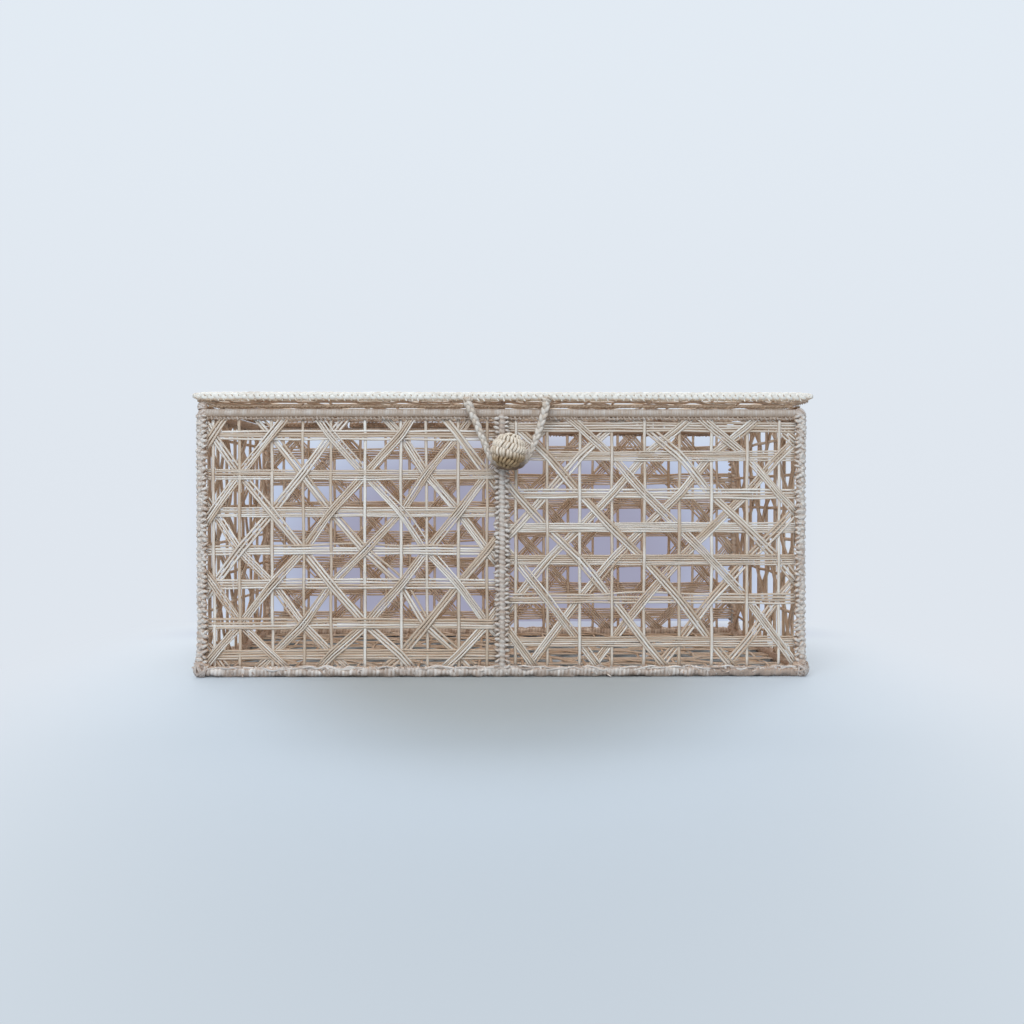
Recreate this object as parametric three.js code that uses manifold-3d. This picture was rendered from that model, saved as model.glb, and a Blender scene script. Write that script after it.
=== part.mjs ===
// A lidded keepsake box of woven straw on a frame of wrapped wire.
// Millimetres, +Z up. The front with the ball button faces -Y.
// The origin is on the floor, at the middle of the footprint.

import * as THREE from 'three';
import { mergeVertices } from 'three/addons/utils/BufferGeometryUtils.js';
import Module from 'manifold-3d';

const wasm = await Module();
wasm.setup();

// Overall sizes of the frame
const BOX_WIDTH = 300;
const BOX_DEPTH = 160;
const RIM_HEIGHT = 130.2;
const GAP = 0.3;

// Frame wire and the straw wound round it
const WIRE_RADIUS = 1.2;
const BORE_CLEARANCE = 0.3;
const RIM_WRAP_RADIUS = 2.25;
const BASE_WRAP_RADIUS = 2.8;
const BASE_FLAT_DEPTH = 0.5;
const CORNER_WRAP_RADIUS = 2.5;
const MID_WRAP_RADIUS = 3.2;
const LID_RIB_WRAP_RADIUS = 2;

// Knots at the eight corners of the frame, and the one that carries the lid
const RIM_KNOT_PROUD = 0.6;
const BASE_KNOT_PROUD = 1.9;

// Braided row sewn on top of the rim
const RIM_BRAID_WIDTH = 3;
const RIM_BRAID_HEIGHT = 1.85;

// Woven panels
const PANEL_THICKNESS = 1.8;
const PANEL_BORDER = 2.7;
const ROW_BUNDLE = 5.4;
const SLANT_BUNDLE = 4.4;
const BAY_COLUMNS = 9;
const SIDE_COLUMNS = 9;
const WALL_BANDS = 7;
const FLAT_COLUMNS = 5;
const FLAT_BANDS = 4;

// Lid
const LID_OVERHANG = 2.4;
const LID_LIFT = 1.7;
const LID_EDGING_WIDTH = 5;
const LID_EDGING_HEIGHT = 4.5;
const LID_PANEL_RISE = 0.8;

// Straw ties that hinge the lid on the back rim
const TIE_WIDTH = 6;
const TIE_WALL = 1;
const TIE_INSET = 47.75;
const TIE_NECK_WIDTH = 3.4;

// Ball button on the front, a little right of the middle post
const BALL_OFFSET = 4;
const BALL_DROP = 18.2;
const BALL_RADIUS_X = 8.4;
const BALL_RADIUS_Y = 6.8;
const BALL_RADIUS_Z = 8.3;
const SHANK_RADIUS = 1.3;
const SHANK_LENGTH = 3.8;

// Closure loop, a braided cord that hangs from two knots on the lid's front edge.
// Its route is measured from the lower front edge of the lid.
const LOOP_RADIUS = 1.85;
const LOOP_KNOT_RADIUS = [3, 2.8, 2.4];
const LOOP_STEPS = 34;
const LOOP_ROUTE = [
  [-16.8, -2.1, -1],
  [-14.6, -2.1, -6.3],
  [-11.9, -2, -12.8],
  [-8.6, -1.7, -20.9],
  [-6.3, -1.4, -26.7],
  [-4, -1.1, -30.7],
  [-0.6, -0.9, -33.1],
  [4, -0.8, -34],
  [8.7, -0.9, -32.9],
  [12.2, -1.1, -28.9],
  [14.9, -1.5, -22.9],
  [17.3, -1.8, -16.7],
  [19.4, -2, -9.9],
  [20.9, -2.1, -5.3],
  [21.6, -2.1, -1],
];

const ROUND_SIDES = 12;
const WIRE_SIDES = 8;
const X = new THREE.Vector3(1, 0, 0);
const Y = new THREE.Vector3(0, 1, 0);
const Z = new THREE.Vector3(0, 0, 1);

// Lines that the frame is built on
const cornerX = BOX_WIDTH / 2 - RIM_WRAP_RADIUS;
const cornerY = BOX_DEPTH / 2 - RIM_WRAP_RADIUS;
const baseHeight = BASE_WRAP_RADIUS - BASE_FLAT_DEPTH;
const boreRadius = WIRE_RADIUS + BORE_CLEARANCE;
const rimKnotFace = Math.max(RIM_WRAP_RADIUS, CORNER_WRAP_RADIUS) + GAP;
const baseKnotFace = Math.max(BASE_WRAP_RADIUS, CORNER_WRAP_RADIUS) + GAP;
const rimKnotRadius = rimKnotFace + RIM_KNOT_PROUD;
const baseKnotRadius = baseKnotFace + BASE_KNOT_PROUD;
const lidHalfWidth = BOX_WIDTH / 2 + LID_OVERHANG;
const lidHalfDepth = BOX_DEPTH / 2 + LID_OVERHANG;
const lidWireX = lidHalfWidth - LID_EDGING_WIDTH / 2;
const lidWireY = lidHalfDepth - LID_EDGING_WIDTH / 2;
const lidUnderside = RIM_HEIGHT + RIM_WRAP_RADIUS + GAP + RIM_BRAID_HEIGHT + LID_LIFT;
const lidWireHeight = lidUnderside + LID_EDGING_HEIGHT / 2;
const tieX = cornerX - TIE_INSET;
const wallBottom = baseHeight + BASE_WRAP_RADIUS + GAP;
const wallTop = RIM_HEIGHT - RIM_WRAP_RADIUS - GAP;

const straw = new THREE.MeshStandardMaterial({ color: 0xd6cbb8, roughness: 0.8, metalness: 0 });
const paleStraw = new THREE.MeshStandardMaterial({ color: 0xe6e0d2, roughness: 0.8, metalness: 0 });
const darkStraw = new THREE.MeshStandardMaterial({ color: 0xa8927a, roughness: 0.85, metalness: 0 });
const steel = new THREE.MeshStandardMaterial({ color: 0x8f8f8c, roughness: 0.45, metalness: 1 });

const box = new THREE.Group();

function add(name, geometry, material, position = [0, 0, 0]) {
  const mesh = new THREE.Mesh(geometry, material);
  mesh.name = name;
  mesh.position.set(...position);
  box.add(mesh);
  return mesh;
}

// Turns a closed geometry into a solid that can be joined and cut
function solidOf(geometry) {
  const plain = geometry.clone();
  plain.deleteAttribute('normal');
  plain.deleteAttribute('uv');
  const merged = mergeVertices(plain, 1e-4);
  return new wasm.Manifold(new wasm.Mesh({
    numProp: 3,
    vertProperties: new Float32Array(merged.attributes.position.array),
    triVerts: new Uint32Array(merged.index.array),
  }));
}

function geometryOf(solid) {
  const mesh = solid.getMesh();
  const geometry = new THREE.BufferGeometry();
  geometry.setAttribute('position', new THREE.BufferAttribute(mesh.vertProperties, 3));
  geometry.setIndex(new THREE.BufferAttribute(mesh.triVerts, 1));
  return geometry;
}

function joined(solids) {
  return solids.reduce((whole, next) => whole.add(next));
}

// Solid block between two opposite corners
function block(low, high) {
  const size = high.map((value, axis) => value - low[axis]);
  const middle = high.map((value, axis) => (value + low[axis]) / 2);
  return solidOf(new THREE.BoxGeometry(...size).translate(...middle));
}

// Solid round rod between two points
function rod(from, to, radius, sides = WIRE_SIDES) {
  const start = new THREE.Vector3(...from);
  const run = new THREE.Vector3(...to).sub(start);
  const geometry = new THREE.CylinderGeometry(radius, radius, run.length(), sides);
  geometry.translate(0, run.length() / 2, 0);
  geometry.applyQuaternion(new THREE.Quaternion().setFromUnitVectors(Y, run.normalize()));
  return solidOf(geometry.translate(start.x, start.y, start.z));
}

function lump(radii, centre, sides = 12, bands = 8) {
  const geometry = new THREE.SphereGeometry(1, sides, bands);
  return solidOf(geometry.scale(...radii).translate(...centre));
}

// Section of a wrapped wire: round, with a bore for the wire, and flat below where it stands
function wrapSection(radius, flatDepth) {
  const section = new THREE.Shape();
  const lean = Math.acos(1 - flatDepth / radius);
  section.absarc(0, 0, radius, -Math.PI / 2 + lean, Math.PI * 1.5 - lean, false);
  const bore = new THREE.Path();
  bore.absarc(0, 0, boreRadius, 0, Math.PI * 2, false);
  section.holes.push(bore);
  return section;
}

// Directions that a section can be drawn out along, with its own upright kept upright
const ALONG = {
  x: new THREE.Matrix4().makeBasis(Y, Z, X),
  y: new THREE.Matrix4().makeBasis(X.clone().negate(), Z, Y),
  z: new THREE.Matrix4(),
};

function addWrap(name, direction, length, centre, radius, flatDepth = 0) {
  const geometry = new THREE.ExtrudeGeometry(wrapSection(radius, flatDepth), {
    depth: length,
    bevelEnabled: false,
    curveSegments: ROUND_SIDES / 2,
  });
  geometry.translate(0, 0, -length / 2);
  const mesh = add(name, geometry, straw, centre);
  mesh.setRotationFromMatrix(ALONG[direction]);
}

// Four rods that cross at the corners of a rectangle
function ringRods(halfX, halfY, height, radius) {
  const rods = [];
  for (const side of [-1, 1]) {
    rods.push(rod([-halfX - radius, side * halfY, height], [halfX + radius, side * halfY, height], radius));
    rods.push(rod([side * halfX, -halfY, height], [side * halfX, halfY, height], radius));
  }
  return joined(rods);
}

// Base, rim and lid wires, each one bent ring
function addRingWires() {
  add('base_ring_wire', geometryOf(ringRods(cornerX, cornerY, baseHeight, WIRE_RADIUS)), steel);
  add('rim_ring_wire', geometryOf(ringRods(cornerX, cornerY, RIM_HEIGHT, WIRE_RADIUS)), steel);
  add('lid_ring_wire', geometryOf(ringRods(lidWireX, lidWireY, lidWireHeight, WIRE_RADIUS)), steel);
}

function straightWire(name, direction, length, centre) {
  const geometry = new THREE.CylinderGeometry(WIRE_RADIUS, WIRE_RADIUS, length, WIRE_SIDES);
  geometry.rotateX(Math.PI / 2);
  const mesh = add(name, geometry, steel, centre);
  mesh.setRotationFromMatrix(ALONG[direction]);
}

const SIDES = { left: -1, right: 1 };
const ENDS = { front: -1, back: 1 };

// Base and rim wraps butt against the corner knots
function addRingWraps() {
  const baseStop = baseKnotFace + GAP;
  const rimStop = rimKnotFace + GAP;
  for (const [name, sign] of Object.entries(ENDS)) {
    const y = sign * cornerY;
    const baseLength = 2 * (cornerX - baseStop);
    addWrap(`base_wrap_${name}`, 'x', baseLength, [0, y, baseHeight], BASE_WRAP_RADIUS, BASE_FLAT_DEPTH);
    addWrap(`rim_wrap_${name}`, 'x', 2 * (cornerX - rimStop), [0, y, RIM_HEIGHT], RIM_WRAP_RADIUS);
  }
  for (const [name, sign] of Object.entries(SIDES)) {
    const x = sign * cornerX;
    const baseLength = 2 * (cornerY - baseStop);
    addWrap(`base_wrap_${name}`, 'y', baseLength, [x, 0, baseHeight], BASE_WRAP_RADIUS, BASE_FLAT_DEPTH);
    addWrap(`rim_wrap_${name}`, 'y', 2 * (cornerY - rimStop), [x, 0, RIM_HEIGHT], RIM_WRAP_RADIUS);
  }
}

// Corner posts stand between the knots, and the middle posts between the base and the rim
function addPosts() {
  const wireBottom = baseHeight + WIRE_RADIUS + GAP;
  const wireTop = RIM_HEIGHT - WIRE_RADIUS - GAP;
  const wrapBottom = baseHeight + baseKnotFace + GAP;
  const wrapTop = RIM_HEIGHT - rimKnotFace - GAP;
  for (const [end, signY] of Object.entries(ENDS)) {
    for (const [side, signX] of Object.entries(SIDES)) {
      const corner = [signX * cornerX, signY * cornerY];
      const wireCentre = [...corner, (wireBottom + wireTop) / 2];
      straightWire(`corner_post_wire_${end}_${side}`, 'z', wireTop - wireBottom, wireCentre);
      const wrapCentre = [...corner, (wrapBottom + wrapTop) / 2];
      addWrap(`corner_post_wrap_${end}_${side}`, 'z', wrapTop - wrapBottom, wrapCentre, CORNER_WRAP_RADIUS);
    }
    const middle = [0, signY * cornerY, (wallBottom + wallTop) / 2];
    straightWire(`mid_post_wire_${end}`, 'z', wallTop - wallBottom, middle);
    addWrap(`mid_post_wrap_${end}`, 'z', wallTop - wallBottom, middle, MID_WRAP_RADIUS);
  }
}

// One rib across the base and one across the lid, in line with the middle posts
function addRibs() {
  const baseLength = 2 * (cornerY - BASE_WRAP_RADIUS - GAP);
  straightWire('base_rib_wire', 'y', baseLength, [0, 0, baseHeight]);
  addWrap('base_rib_wrap', 'y', baseLength, [0, 0, baseHeight], BASE_WRAP_RADIUS, BASE_FLAT_DEPTH);
  const lidLength = 2 * (lidHalfDepth - LID_EDGING_WIDTH - GAP);
  straightWire('lid_rib_wire', 'y', lidLength, [0, 0, lidWireHeight]);
  addWrap('lid_rib_wrap', 'y', lidLength, [0, 0, lidWireHeight], LID_RIB_WRAP_RADIUS);
}

// A bound knot round the place where three wires meet, cut flat where the wraps butt on it.
// It runs from `below` under its centre to `above` over it.
function cornerKnot(signX, signY, height, radius, face, below, above) {
  const centre = [signX * cornerX, signY * cornerY, height];
  const outside = [centre[0] + signX * radius, centre[1] + signY * radius];
  const inside = [centre[0] - signX * face, centre[1] - signY * face];
  const trim = block(
    [Math.min(outside[0], inside[0]), Math.min(outside[1], inside[1]), height - below],
    [Math.max(outside[0], inside[0]), Math.max(outside[1], inside[1]), height + above],
  );
  const ring = ringRods(cornerX, cornerY, height, boreRadius);
  const towardsPost = height < RIM_HEIGHT ? 2 * radius : -2 * radius;
  const post = rod(centre, [centre[0], centre[1], height + towardsPost], boreRadius);
  const ball = lump([radius, radius, Math.max(radius, above)], centre);
  return ball.intersect(trim).subtract(ring).subtract(post);
}

// The front left knot at the rim stands taller than the others and carries the lid
function addKnots() {
  for (const [end, signY] of Object.entries(ENDS)) {
    for (const [side, signX] of Object.entries(SIDES)) {
      const base = cornerKnot(signX, signY, baseHeight, baseKnotRadius, baseKnotFace, baseHeight, baseKnotFace);
      add(`base_knot_${end}_${side}`, geometryOf(base), darkStraw);
      const carriesLid = end === 'front' && side === 'left';
      const rise = carriesLid ? lidUnderside - GAP - RIM_HEIGHT : rimKnotRadius;
      const rim = cornerKnot(signX, signY, RIM_HEIGHT, rimKnotRadius, rimKnotFace, rimKnotFace, rise);
      add(`rim_knot_${end}_${side}`, geometryOf(rim), straw);
    }
  }
}

// The braided row lies on the rim at the front and the sides, and leaves the hinge side free
function addRimBraid() {
  const height = RIM_HEIGHT + RIM_WRAP_RADIUS + GAP + RIM_BRAID_HEIGHT / 2;
  const stop = rimKnotRadius + GAP;
  const front = new THREE.BoxGeometry(2 * (cornerX - stop), RIM_BRAID_WIDTH, RIM_BRAID_HEIGHT);
  add('rim_braid_front', front, darkStraw, [0, -cornerY, height]);
  for (const [side, signX] of Object.entries(SIDES)) {
    const along = new THREE.BoxGeometry(RIM_BRAID_WIDTH, 2 * (cornerY - stop), RIM_BRAID_HEIGHT);
    add(`rim_braid_${side}`, along, darkStraw, [signX * cornerX, 0, height]);
  }
}

// How far a panel's corner is cut back to clear the round knot beside it
function knotChamfer(offsetAcross, offsetUp) {
  return Math.max(GAP, (baseKnotRadius + GAP) * Math.SQRT2 - offsetAcross - offsetUp);
}

// Outline of a panel with its corners cut back, and a slot in its top edge for each hinge tie
function panelOutline(width, height, chamfer, slots) {
  const outline = new THREE.Shape();
  outline.moveTo(chamfer, 0);
  outline.lineTo(width - chamfer, 0);
  outline.lineTo(width, chamfer);
  outline.lineTo(width, height - chamfer);
  outline.lineTo(width - chamfer, height);
  for (const { middle, depth } of slots) {
    const half = TIE_WIDTH / 2 + GAP;
    outline.lineTo(middle + half, height);
    outline.lineTo(middle + half, height - depth);
    outline.lineTo(middle - half, height - depth);
    outline.lineTo(middle - half, height);
  }
  outline.lineTo(chamfer, height);
  outline.lineTo(0, height - chamfer);
  outline.lineTo(0, chamfer);
  return outline;
}

// One three-sided gap, with its base on a row and its point at the node of the next row.
// A gap at the side of a panel is cut off by the border.
function weaveGap(centre, base, point, slope, width) {
  const half = Math.abs(point - base) / slope;
  const left = Math.max(centre - half, PANEL_BORDER);
  const right = Math.min(centre + half, width - PANEL_BORDER);
  const up = Math.sign(point - base);
  const heightAt = (x) => point - up * Math.abs(x - centre) * slope;
  const corners = [[left, base], [right, base]];
  if (right < centre) {
    corners.push([right, heightAt(right)]);
  } else if (left > centre) {
    corners.push([left, heightAt(left)]);
  } else {
    corners.push([centre, point]);
  }
  return new THREE.Shape(corners.map((corner) => new THREE.Vector2(...corner)));
}

// A woven panel as a flat net: level rows of straw, and slanting bundles both ways between them.
// The slanting bundles cross on the rows, one column further along on each row.
function wovenPanel({ width, height, columns, bands, shift = 0, chamfer = GAP, slots = [] }) {
  const columnPitch = width / columns;
  const rowPitch = height / bands;
  const slope = rowPitch / columnPitch;
  const lean = Math.atan(slope);
  const nodeReach = Math.max(SLANT_BUNDLE / 2 / Math.cos(lean), ROW_BUNDLE / 2);
  const gaps = [];
  for (let band = 0; band < bands; band += 1) {
    for (let column = 0; column <= columns; column += 1) {
      const pointsUp = (column + band + shift) % 2 === 1;
      const lowRow = band * rowPitch;
      const highRow = lowRow + rowPitch;
      const base = pointsUp ? lowRow + ROW_BUNDLE / 2 : highRow - ROW_BUNDLE / 2;
      const point = pointsUp ? highRow - nodeReach : lowRow + nodeReach;
      gaps.push(weaveGap(column * columnPitch, base, point, slope, width));
    }
  }
  const outline = panelOutline(width, height, chamfer, slots);
  const plate = new THREE.ExtrudeGeometry(outline, { depth: PANEL_THICKNESS, bevelEnabled: false });
  const cutters = new THREE.ExtrudeGeometry(gaps, { depth: 3 * PANEL_THICKNESS, bevelEnabled: false });
  cutters.translate(0, 0, -PANEL_THICKNESS);
  return geometryOf(solidOf(plate).subtract(solidOf(cutters)));
}

function placePanel(name, panel, material, basis, position) {
  const mesh = add(name, panel, material, position);
  mesh.setRotationFromMatrix(new THREE.Matrix4().makeBasis(...basis));
}

function addWallPanels() {
  const inner = MID_WRAP_RADIUS + GAP;
  const outer = cornerX - CORNER_WRAP_RADIUS - GAP;
  const width = outer - inner;
  const height = wallTop - wallBottom;
  const chamfer = knotChamfer(cornerX - outer, wallBottom - baseHeight);
  const half = PANEL_THICKNESS / 2;
  const upright = [X, Z, Y.clone().negate()];
  const slotDepth = BORE_CLEARANCE + TIE_WALL;
  const wall = { width, height, columns: BAY_COLUMNS, bands: WALL_BANDS, chamfer };
  const bays = { left: -outer, right: inner };
  for (const [side, startX] of Object.entries(bays)) {
    const shift = side === 'left' ? 0 : 1;
    const front = wovenPanel({ ...wall, shift });
    placePanel(`front_panel_${side}`, front, straw, upright, [startX, -cornerY + half, wallBottom]);
    const slots = [{ middle: SIDES[side] * tieX - startX, depth: slotDepth }];
    const back = wovenPanel({ ...wall, shift, slots });
    placePanel(`back_panel_${side}`, back, straw, upright, [startX, cornerY + half, wallBottom]);
  }
  const depth = 2 * (cornerY - CORNER_WRAP_RADIUS - GAP);
  for (const [side, signX] of Object.entries(SIDES)) {
    const panel = wovenPanel({ ...wall, width: depth, columns: SIDE_COLUMNS });
    const corner = [signX * cornerX - half, -depth / 2, wallBottom];
    placePanel(`side_panel_${side}`, panel, straw, [Y, Z, X], corner);
  }
}

// Base and lid panels, woven more openly than the walls
function addFlatPanels() {
  const level = [X, Y, Z];
  const open = { columns: FLAT_COLUMNS, bands: FLAT_BANDS };
  const baseInner = BASE_WRAP_RADIUS + GAP;
  const baseOuter = cornerX - BASE_WRAP_RADIUS - GAP;
  const baseDepth = 2 * (cornerY - BASE_WRAP_RADIUS - GAP);
  const baseChamfer = knotChamfer(baseInner, baseInner);
  const base = { ...open, width: baseOuter - baseInner, height: baseDepth, chamfer: baseChamfer };
  const baseStarts = { left: -baseOuter, right: baseInner };
  for (const [side, x] of Object.entries(baseStarts)) {
    const corner = [x, -baseDepth / 2, baseHeight - PANEL_THICKNESS / 2];
    placePanel(`base_panel_${side}`, wovenPanel(base), straw, level, corner);
  }
  const lidInner = LID_RIB_WRAP_RADIUS + GAP;
  const lidOuter = lidHalfWidth - LID_EDGING_WIDTH - GAP;
  const lidDepth = 2 * (lidHalfDepth - LID_EDGING_WIDTH - GAP);
  const lid = { ...open, width: lidOuter - lidInner, height: lidDepth };
  const lidStarts = { left: -lidOuter, right: lidInner };
  for (const [side, x] of Object.entries(lidStarts)) {
    const slots = [{ middle: SIDES[side] * tieX - x, depth: TIE_WALL + GAP }];
    const corner = [x, -lidDepth / 2, lidUnderside + LID_PANEL_RISE];
    placePanel(`lid_panel_${side}`, wovenPanel({ ...lid, slots }), paleStraw, level, corner);
  }
}

// Braided edging of the lid: four bars mitred at the corners, bored for the lid wire
function addLidEdging() {
  const cavity = ringRods(lidWireX, lidWireY, lidWireHeight, boreRadius);
  const setBack = GAP * Math.SQRT1_2;
  const bars = {
    front: [lidHalfWidth, lidHalfDepth, 0],
    right: [lidHalfDepth, lidHalfWidth, Math.PI / 2],
    back: [lidHalfWidth, lidHalfDepth, Math.PI],
    left: [lidHalfDepth, lidHalfWidth, -Math.PI / 2],
  };
  for (const [name, [halfLength, distance, turn]] of Object.entries(bars)) {
    const plan = new THREE.Shape();
    plan.moveTo(-halfLength + setBack, -distance);
    plan.lineTo(halfLength - setBack, -distance);
    plan.lineTo(halfLength - setBack - LID_EDGING_WIDTH, -distance + LID_EDGING_WIDTH);
    plan.lineTo(-halfLength + setBack + LID_EDGING_WIDTH, -distance + LID_EDGING_WIDTH);
    const bar = new THREE.ExtrudeGeometry(plan, { depth: LID_EDGING_HEIGHT, bevelEnabled: false });
    bar.rotateZ(turn).translate(0, 0, lidUnderside);
    add(`lid_edging_${name}`, geometryOf(solidOf(bar).subtract(cavity)), paleStraw);
  }
}

// Each tie is a ring round the back rim, joined to a square loop round the lid's back edging
function addHingeTies() {
  const bore = RIM_WRAP_RADIUS + BORE_CLEARANCE;
  const edgeInner = lidHalfDepth - LID_EDGING_WIDTH - GAP;
  const edgeOuter = lidHalfDepth + GAP;
  const edgeLow = lidUnderside - GAP;
  const edgeHigh = lidUnderside + LID_EDGING_HEIGHT + GAP;
  for (const [side, sign] of Object.entries(SIDES)) {
    const left = sign * tieX - TIE_WIDTH / 2;
    const right = left + TIE_WIDTH;
    const ring = rod([left, cornerY, RIM_HEIGHT], [right, cornerY, RIM_HEIGHT], bore + TIE_WALL, ROUND_SIDES);
    const hole = rod([left - 1, cornerY, RIM_HEIGHT], [right + 1, cornerY, RIM_HEIGHT], bore, ROUND_SIDES);
    const loop = block(
      [left, edgeInner - TIE_WALL, edgeLow - TIE_WALL],
      [right, edgeOuter + TIE_WALL, edgeHigh + TIE_WALL],
    );
    const window = block([left - 1, edgeInner, edgeLow], [right + 1, edgeOuter, edgeHigh]);
    const neckStart = cornerY - TIE_NECK_WIDTH / 2;
    const neck = block(
      [left, neckStart, RIM_HEIGHT + bore + TIE_WALL / 2],
      [right, neckStart + TIE_NECK_WIDTH, edgeLow - TIE_WALL / 2],
    );
    const tie = ring.add(loop).add(neck).subtract(hole).subtract(window);
    add(`hinge_tie_${side}`, geometryOf(tie), straw);
  }
}

// The ball is sewn to the front middle post and the weave beside it by a short shank
function addButton() {
  const x = BALL_OFFSET;
  const z = RIM_HEIGHT - BALL_DROP;
  const ballY = -cornerY - MID_WRAP_RADIUS - GAP - SHANK_LENGTH - BALL_RADIUS_Y;
  const shankStart = -cornerY - PANEL_THICKNESS / 2 - GAP;
  const ball = lump([BALL_RADIUS_X, BALL_RADIUS_Y, BALL_RADIUS_Z], [x, ballY, z], 16, 10);
  const socket = rod([x, ballY, z], [x, shankStart, z], SHANK_RADIUS + GAP, ROUND_SIDES);
  add('button_ball', geometryOf(ball.subtract(socket)), straw);
  const shank = rod([x, ballY + GAP, z], [x, shankStart, z], SHANK_RADIUS, ROUND_SIDES);
  const post = rod([0, -cornerY, wallBottom], [0, -cornerY, wallTop], MID_WRAP_RADIUS + GAP, ROUND_SIDES);
  add('button_shank', geometryOf(shank.subtract(post)), darkStraw);
}

// Two knots on the lid's front edge hold the ends of the loop
function addLoop() {
  const points = LOOP_ROUTE.map(([x, y, z]) => new THREE.Vector3(x, y - lidHalfDepth, z + lidUnderside));
  const faceY = -lidHalfDepth - GAP;
  const ends = { left: points[0], right: points[points.length - 1] };
  const [across, deep, tall] = LOOP_KNOT_RADIUS;
  for (const [side, end] of Object.entries(ends)) {
    const knot = lump(LOOP_KNOT_RADIUS, [end.x, faceY, end.z + GAP + tall]);
    const front = block([end.x - across, faceY - deep, end.z], [end.x + across, faceY, end.z + 3 * tall]);
    add(`loop_knot_${side}`, geometryOf(knot.intersect(front)), straw);
  }
  const section = new THREE.Shape();
  section.absarc(0, 0, LOOP_RADIUS, 0, Math.PI * 2, false);
  const loop = new THREE.ExtrudeGeometry(section, {
    steps: LOOP_STEPS,
    curveSegments: WIRE_SIDES / 2,
    extrudePath: new THREE.CatmullRomCurve3(points),
  });
  add('closure_loop', loop, straw);
}

addRingWires();
addRingWraps();
addPosts();
addRibs();
addKnots();
addRimBraid();
addWallPanels();
addFlatPanels();
addLidEdging();
addHingeTies();
addButton();
addLoop();

export default box;
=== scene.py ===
# %% [markdown]
# # A lidded box of open-weave straw
# The real object is a hand-made box. Stiff wires are wound with straw, and straw strands are woven
# between them, so that one sees through the walls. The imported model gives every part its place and
# size. This script dresses it: each plain solid is replaced by real strands, windings and braids.
# It starts with the fixed frame, because every piece rides on one of its bodies.

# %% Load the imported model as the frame
import math
import random

import bmesh
import bpy
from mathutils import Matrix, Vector, noise


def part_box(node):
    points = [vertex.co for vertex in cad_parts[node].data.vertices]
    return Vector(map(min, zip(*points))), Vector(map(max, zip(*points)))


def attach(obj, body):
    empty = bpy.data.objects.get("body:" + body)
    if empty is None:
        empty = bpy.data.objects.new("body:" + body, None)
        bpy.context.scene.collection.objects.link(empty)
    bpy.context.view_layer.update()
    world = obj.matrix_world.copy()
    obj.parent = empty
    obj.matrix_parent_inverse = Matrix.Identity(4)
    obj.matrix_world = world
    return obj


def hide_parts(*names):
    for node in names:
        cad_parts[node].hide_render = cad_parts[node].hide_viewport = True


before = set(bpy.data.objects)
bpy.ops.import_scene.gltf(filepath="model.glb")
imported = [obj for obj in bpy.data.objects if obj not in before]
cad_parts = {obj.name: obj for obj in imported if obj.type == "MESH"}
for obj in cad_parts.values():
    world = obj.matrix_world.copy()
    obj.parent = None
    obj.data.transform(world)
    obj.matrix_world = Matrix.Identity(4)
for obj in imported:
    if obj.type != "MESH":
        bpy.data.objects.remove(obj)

scene = bpy.context.scene
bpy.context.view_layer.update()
dice = random.Random(41)
MM = 0.001

# %% [markdown]
# ## The camera
# The photograph was taken from in front, a little above the middle of the box, with a normal lens.
# The place, the small tilt and the focal length were worked out from the size of the front wall
# and from how much smaller the back wall looks.

# %% Camera
LENS = 39.1
CAMERA_PLACE = (-0.002, -0.628, 0.091)
TILT_DOWN = 0.98
TURN_RIGHT = 0.72
camera_data = bpy.data.cameras.new("front_camera")
camera_data.sensor_width = 36
camera_data.lens = LENS
camera_data.clip_start = 0.01
camera = bpy.data.objects.new("front_camera", camera_data)
camera.location = CAMERA_PLACE
camera.rotation_euler = (math.radians(90 - TILT_DOWN), 0, math.radians(-TURN_RIGHT))
scene.collection.objects.link(camera)
scene.camera = camera
print("camera at", CAMERA_PLACE, "with a lens of", LENS, "mm")

# %% [markdown]
# ## Lines
# Straw work is all lines: strands, windings and braids follow a route. A few points give the route,
# a smooth curve runs through them, and even steps along that curve carry the mesh. One could draw
# Bezier curves and bevel them, but a mesh strand can be flat, can widen and can carry its own shade.

# %% Smooth lines
UP = Vector((0, 0, 1))
TO_RIGHT = Vector((1, 0, 0))
TO_BACK = Vector((0, 1, 0))


def between(before, start, end, after, share):
    """Return a point on a smooth curve from start to end that also heeds its neighbours."""
    square = share * share
    cube = square * share
    return 0.5 * (
        2 * start
        + (end - before) * share
        + (2 * before - 5 * start + 4 * end - after) * square
        + (3 * start - before - 3 * end + after) * cube
    )


def smooth_line(points, pieces=12):
    """Return many points on a smooth curve through a few."""
    line = []
    for index in range(len(points) - 1):
        before = points[max(index - 1, 0)]
        after = points[min(index + 2, len(points) - 1)]
        for part in range(pieces):
            line.append(between(before, points[index], points[index + 1], after, part / pieces))
    line.append(points[-1].copy())
    return line


# %% Even lines
ROUNDING = 1e-9


def line_length(line):
    """Return how long a line of points is."""
    return sum((line[index + 1] - line[index]).length for index in range(len(line) - 1))


def even_line(line, steps):
    """Return the same line cut into equal steps."""
    spacing = line_length(line) / steps
    result = [line[0].copy()]
    travelled = 0.0
    wanted = spacing
    for index in range(len(line) - 1):
        piece = (line[index + 1] - line[index]).length
        while piece > 0 and travelled + piece >= wanted - ROUNDING and len(result) < steps:
            share = (wanted - travelled) / piece
            result.append(line[index].lerp(line[index + 1], share))
            wanted += spacing
        travelled += piece
    result.append(line[-1].copy())
    return result


def heading(line, index):
    """Return the way from the point before to the point after one point of a line."""
    return line[min(index + 1, len(line) - 1)] - line[max(index - 1, 0)]


def straight_line(start, end, steps):
    """Return the points of a straight line in even steps."""
    return [start.lerp(end, index / steps) for index in range(steps + 1)]


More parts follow.
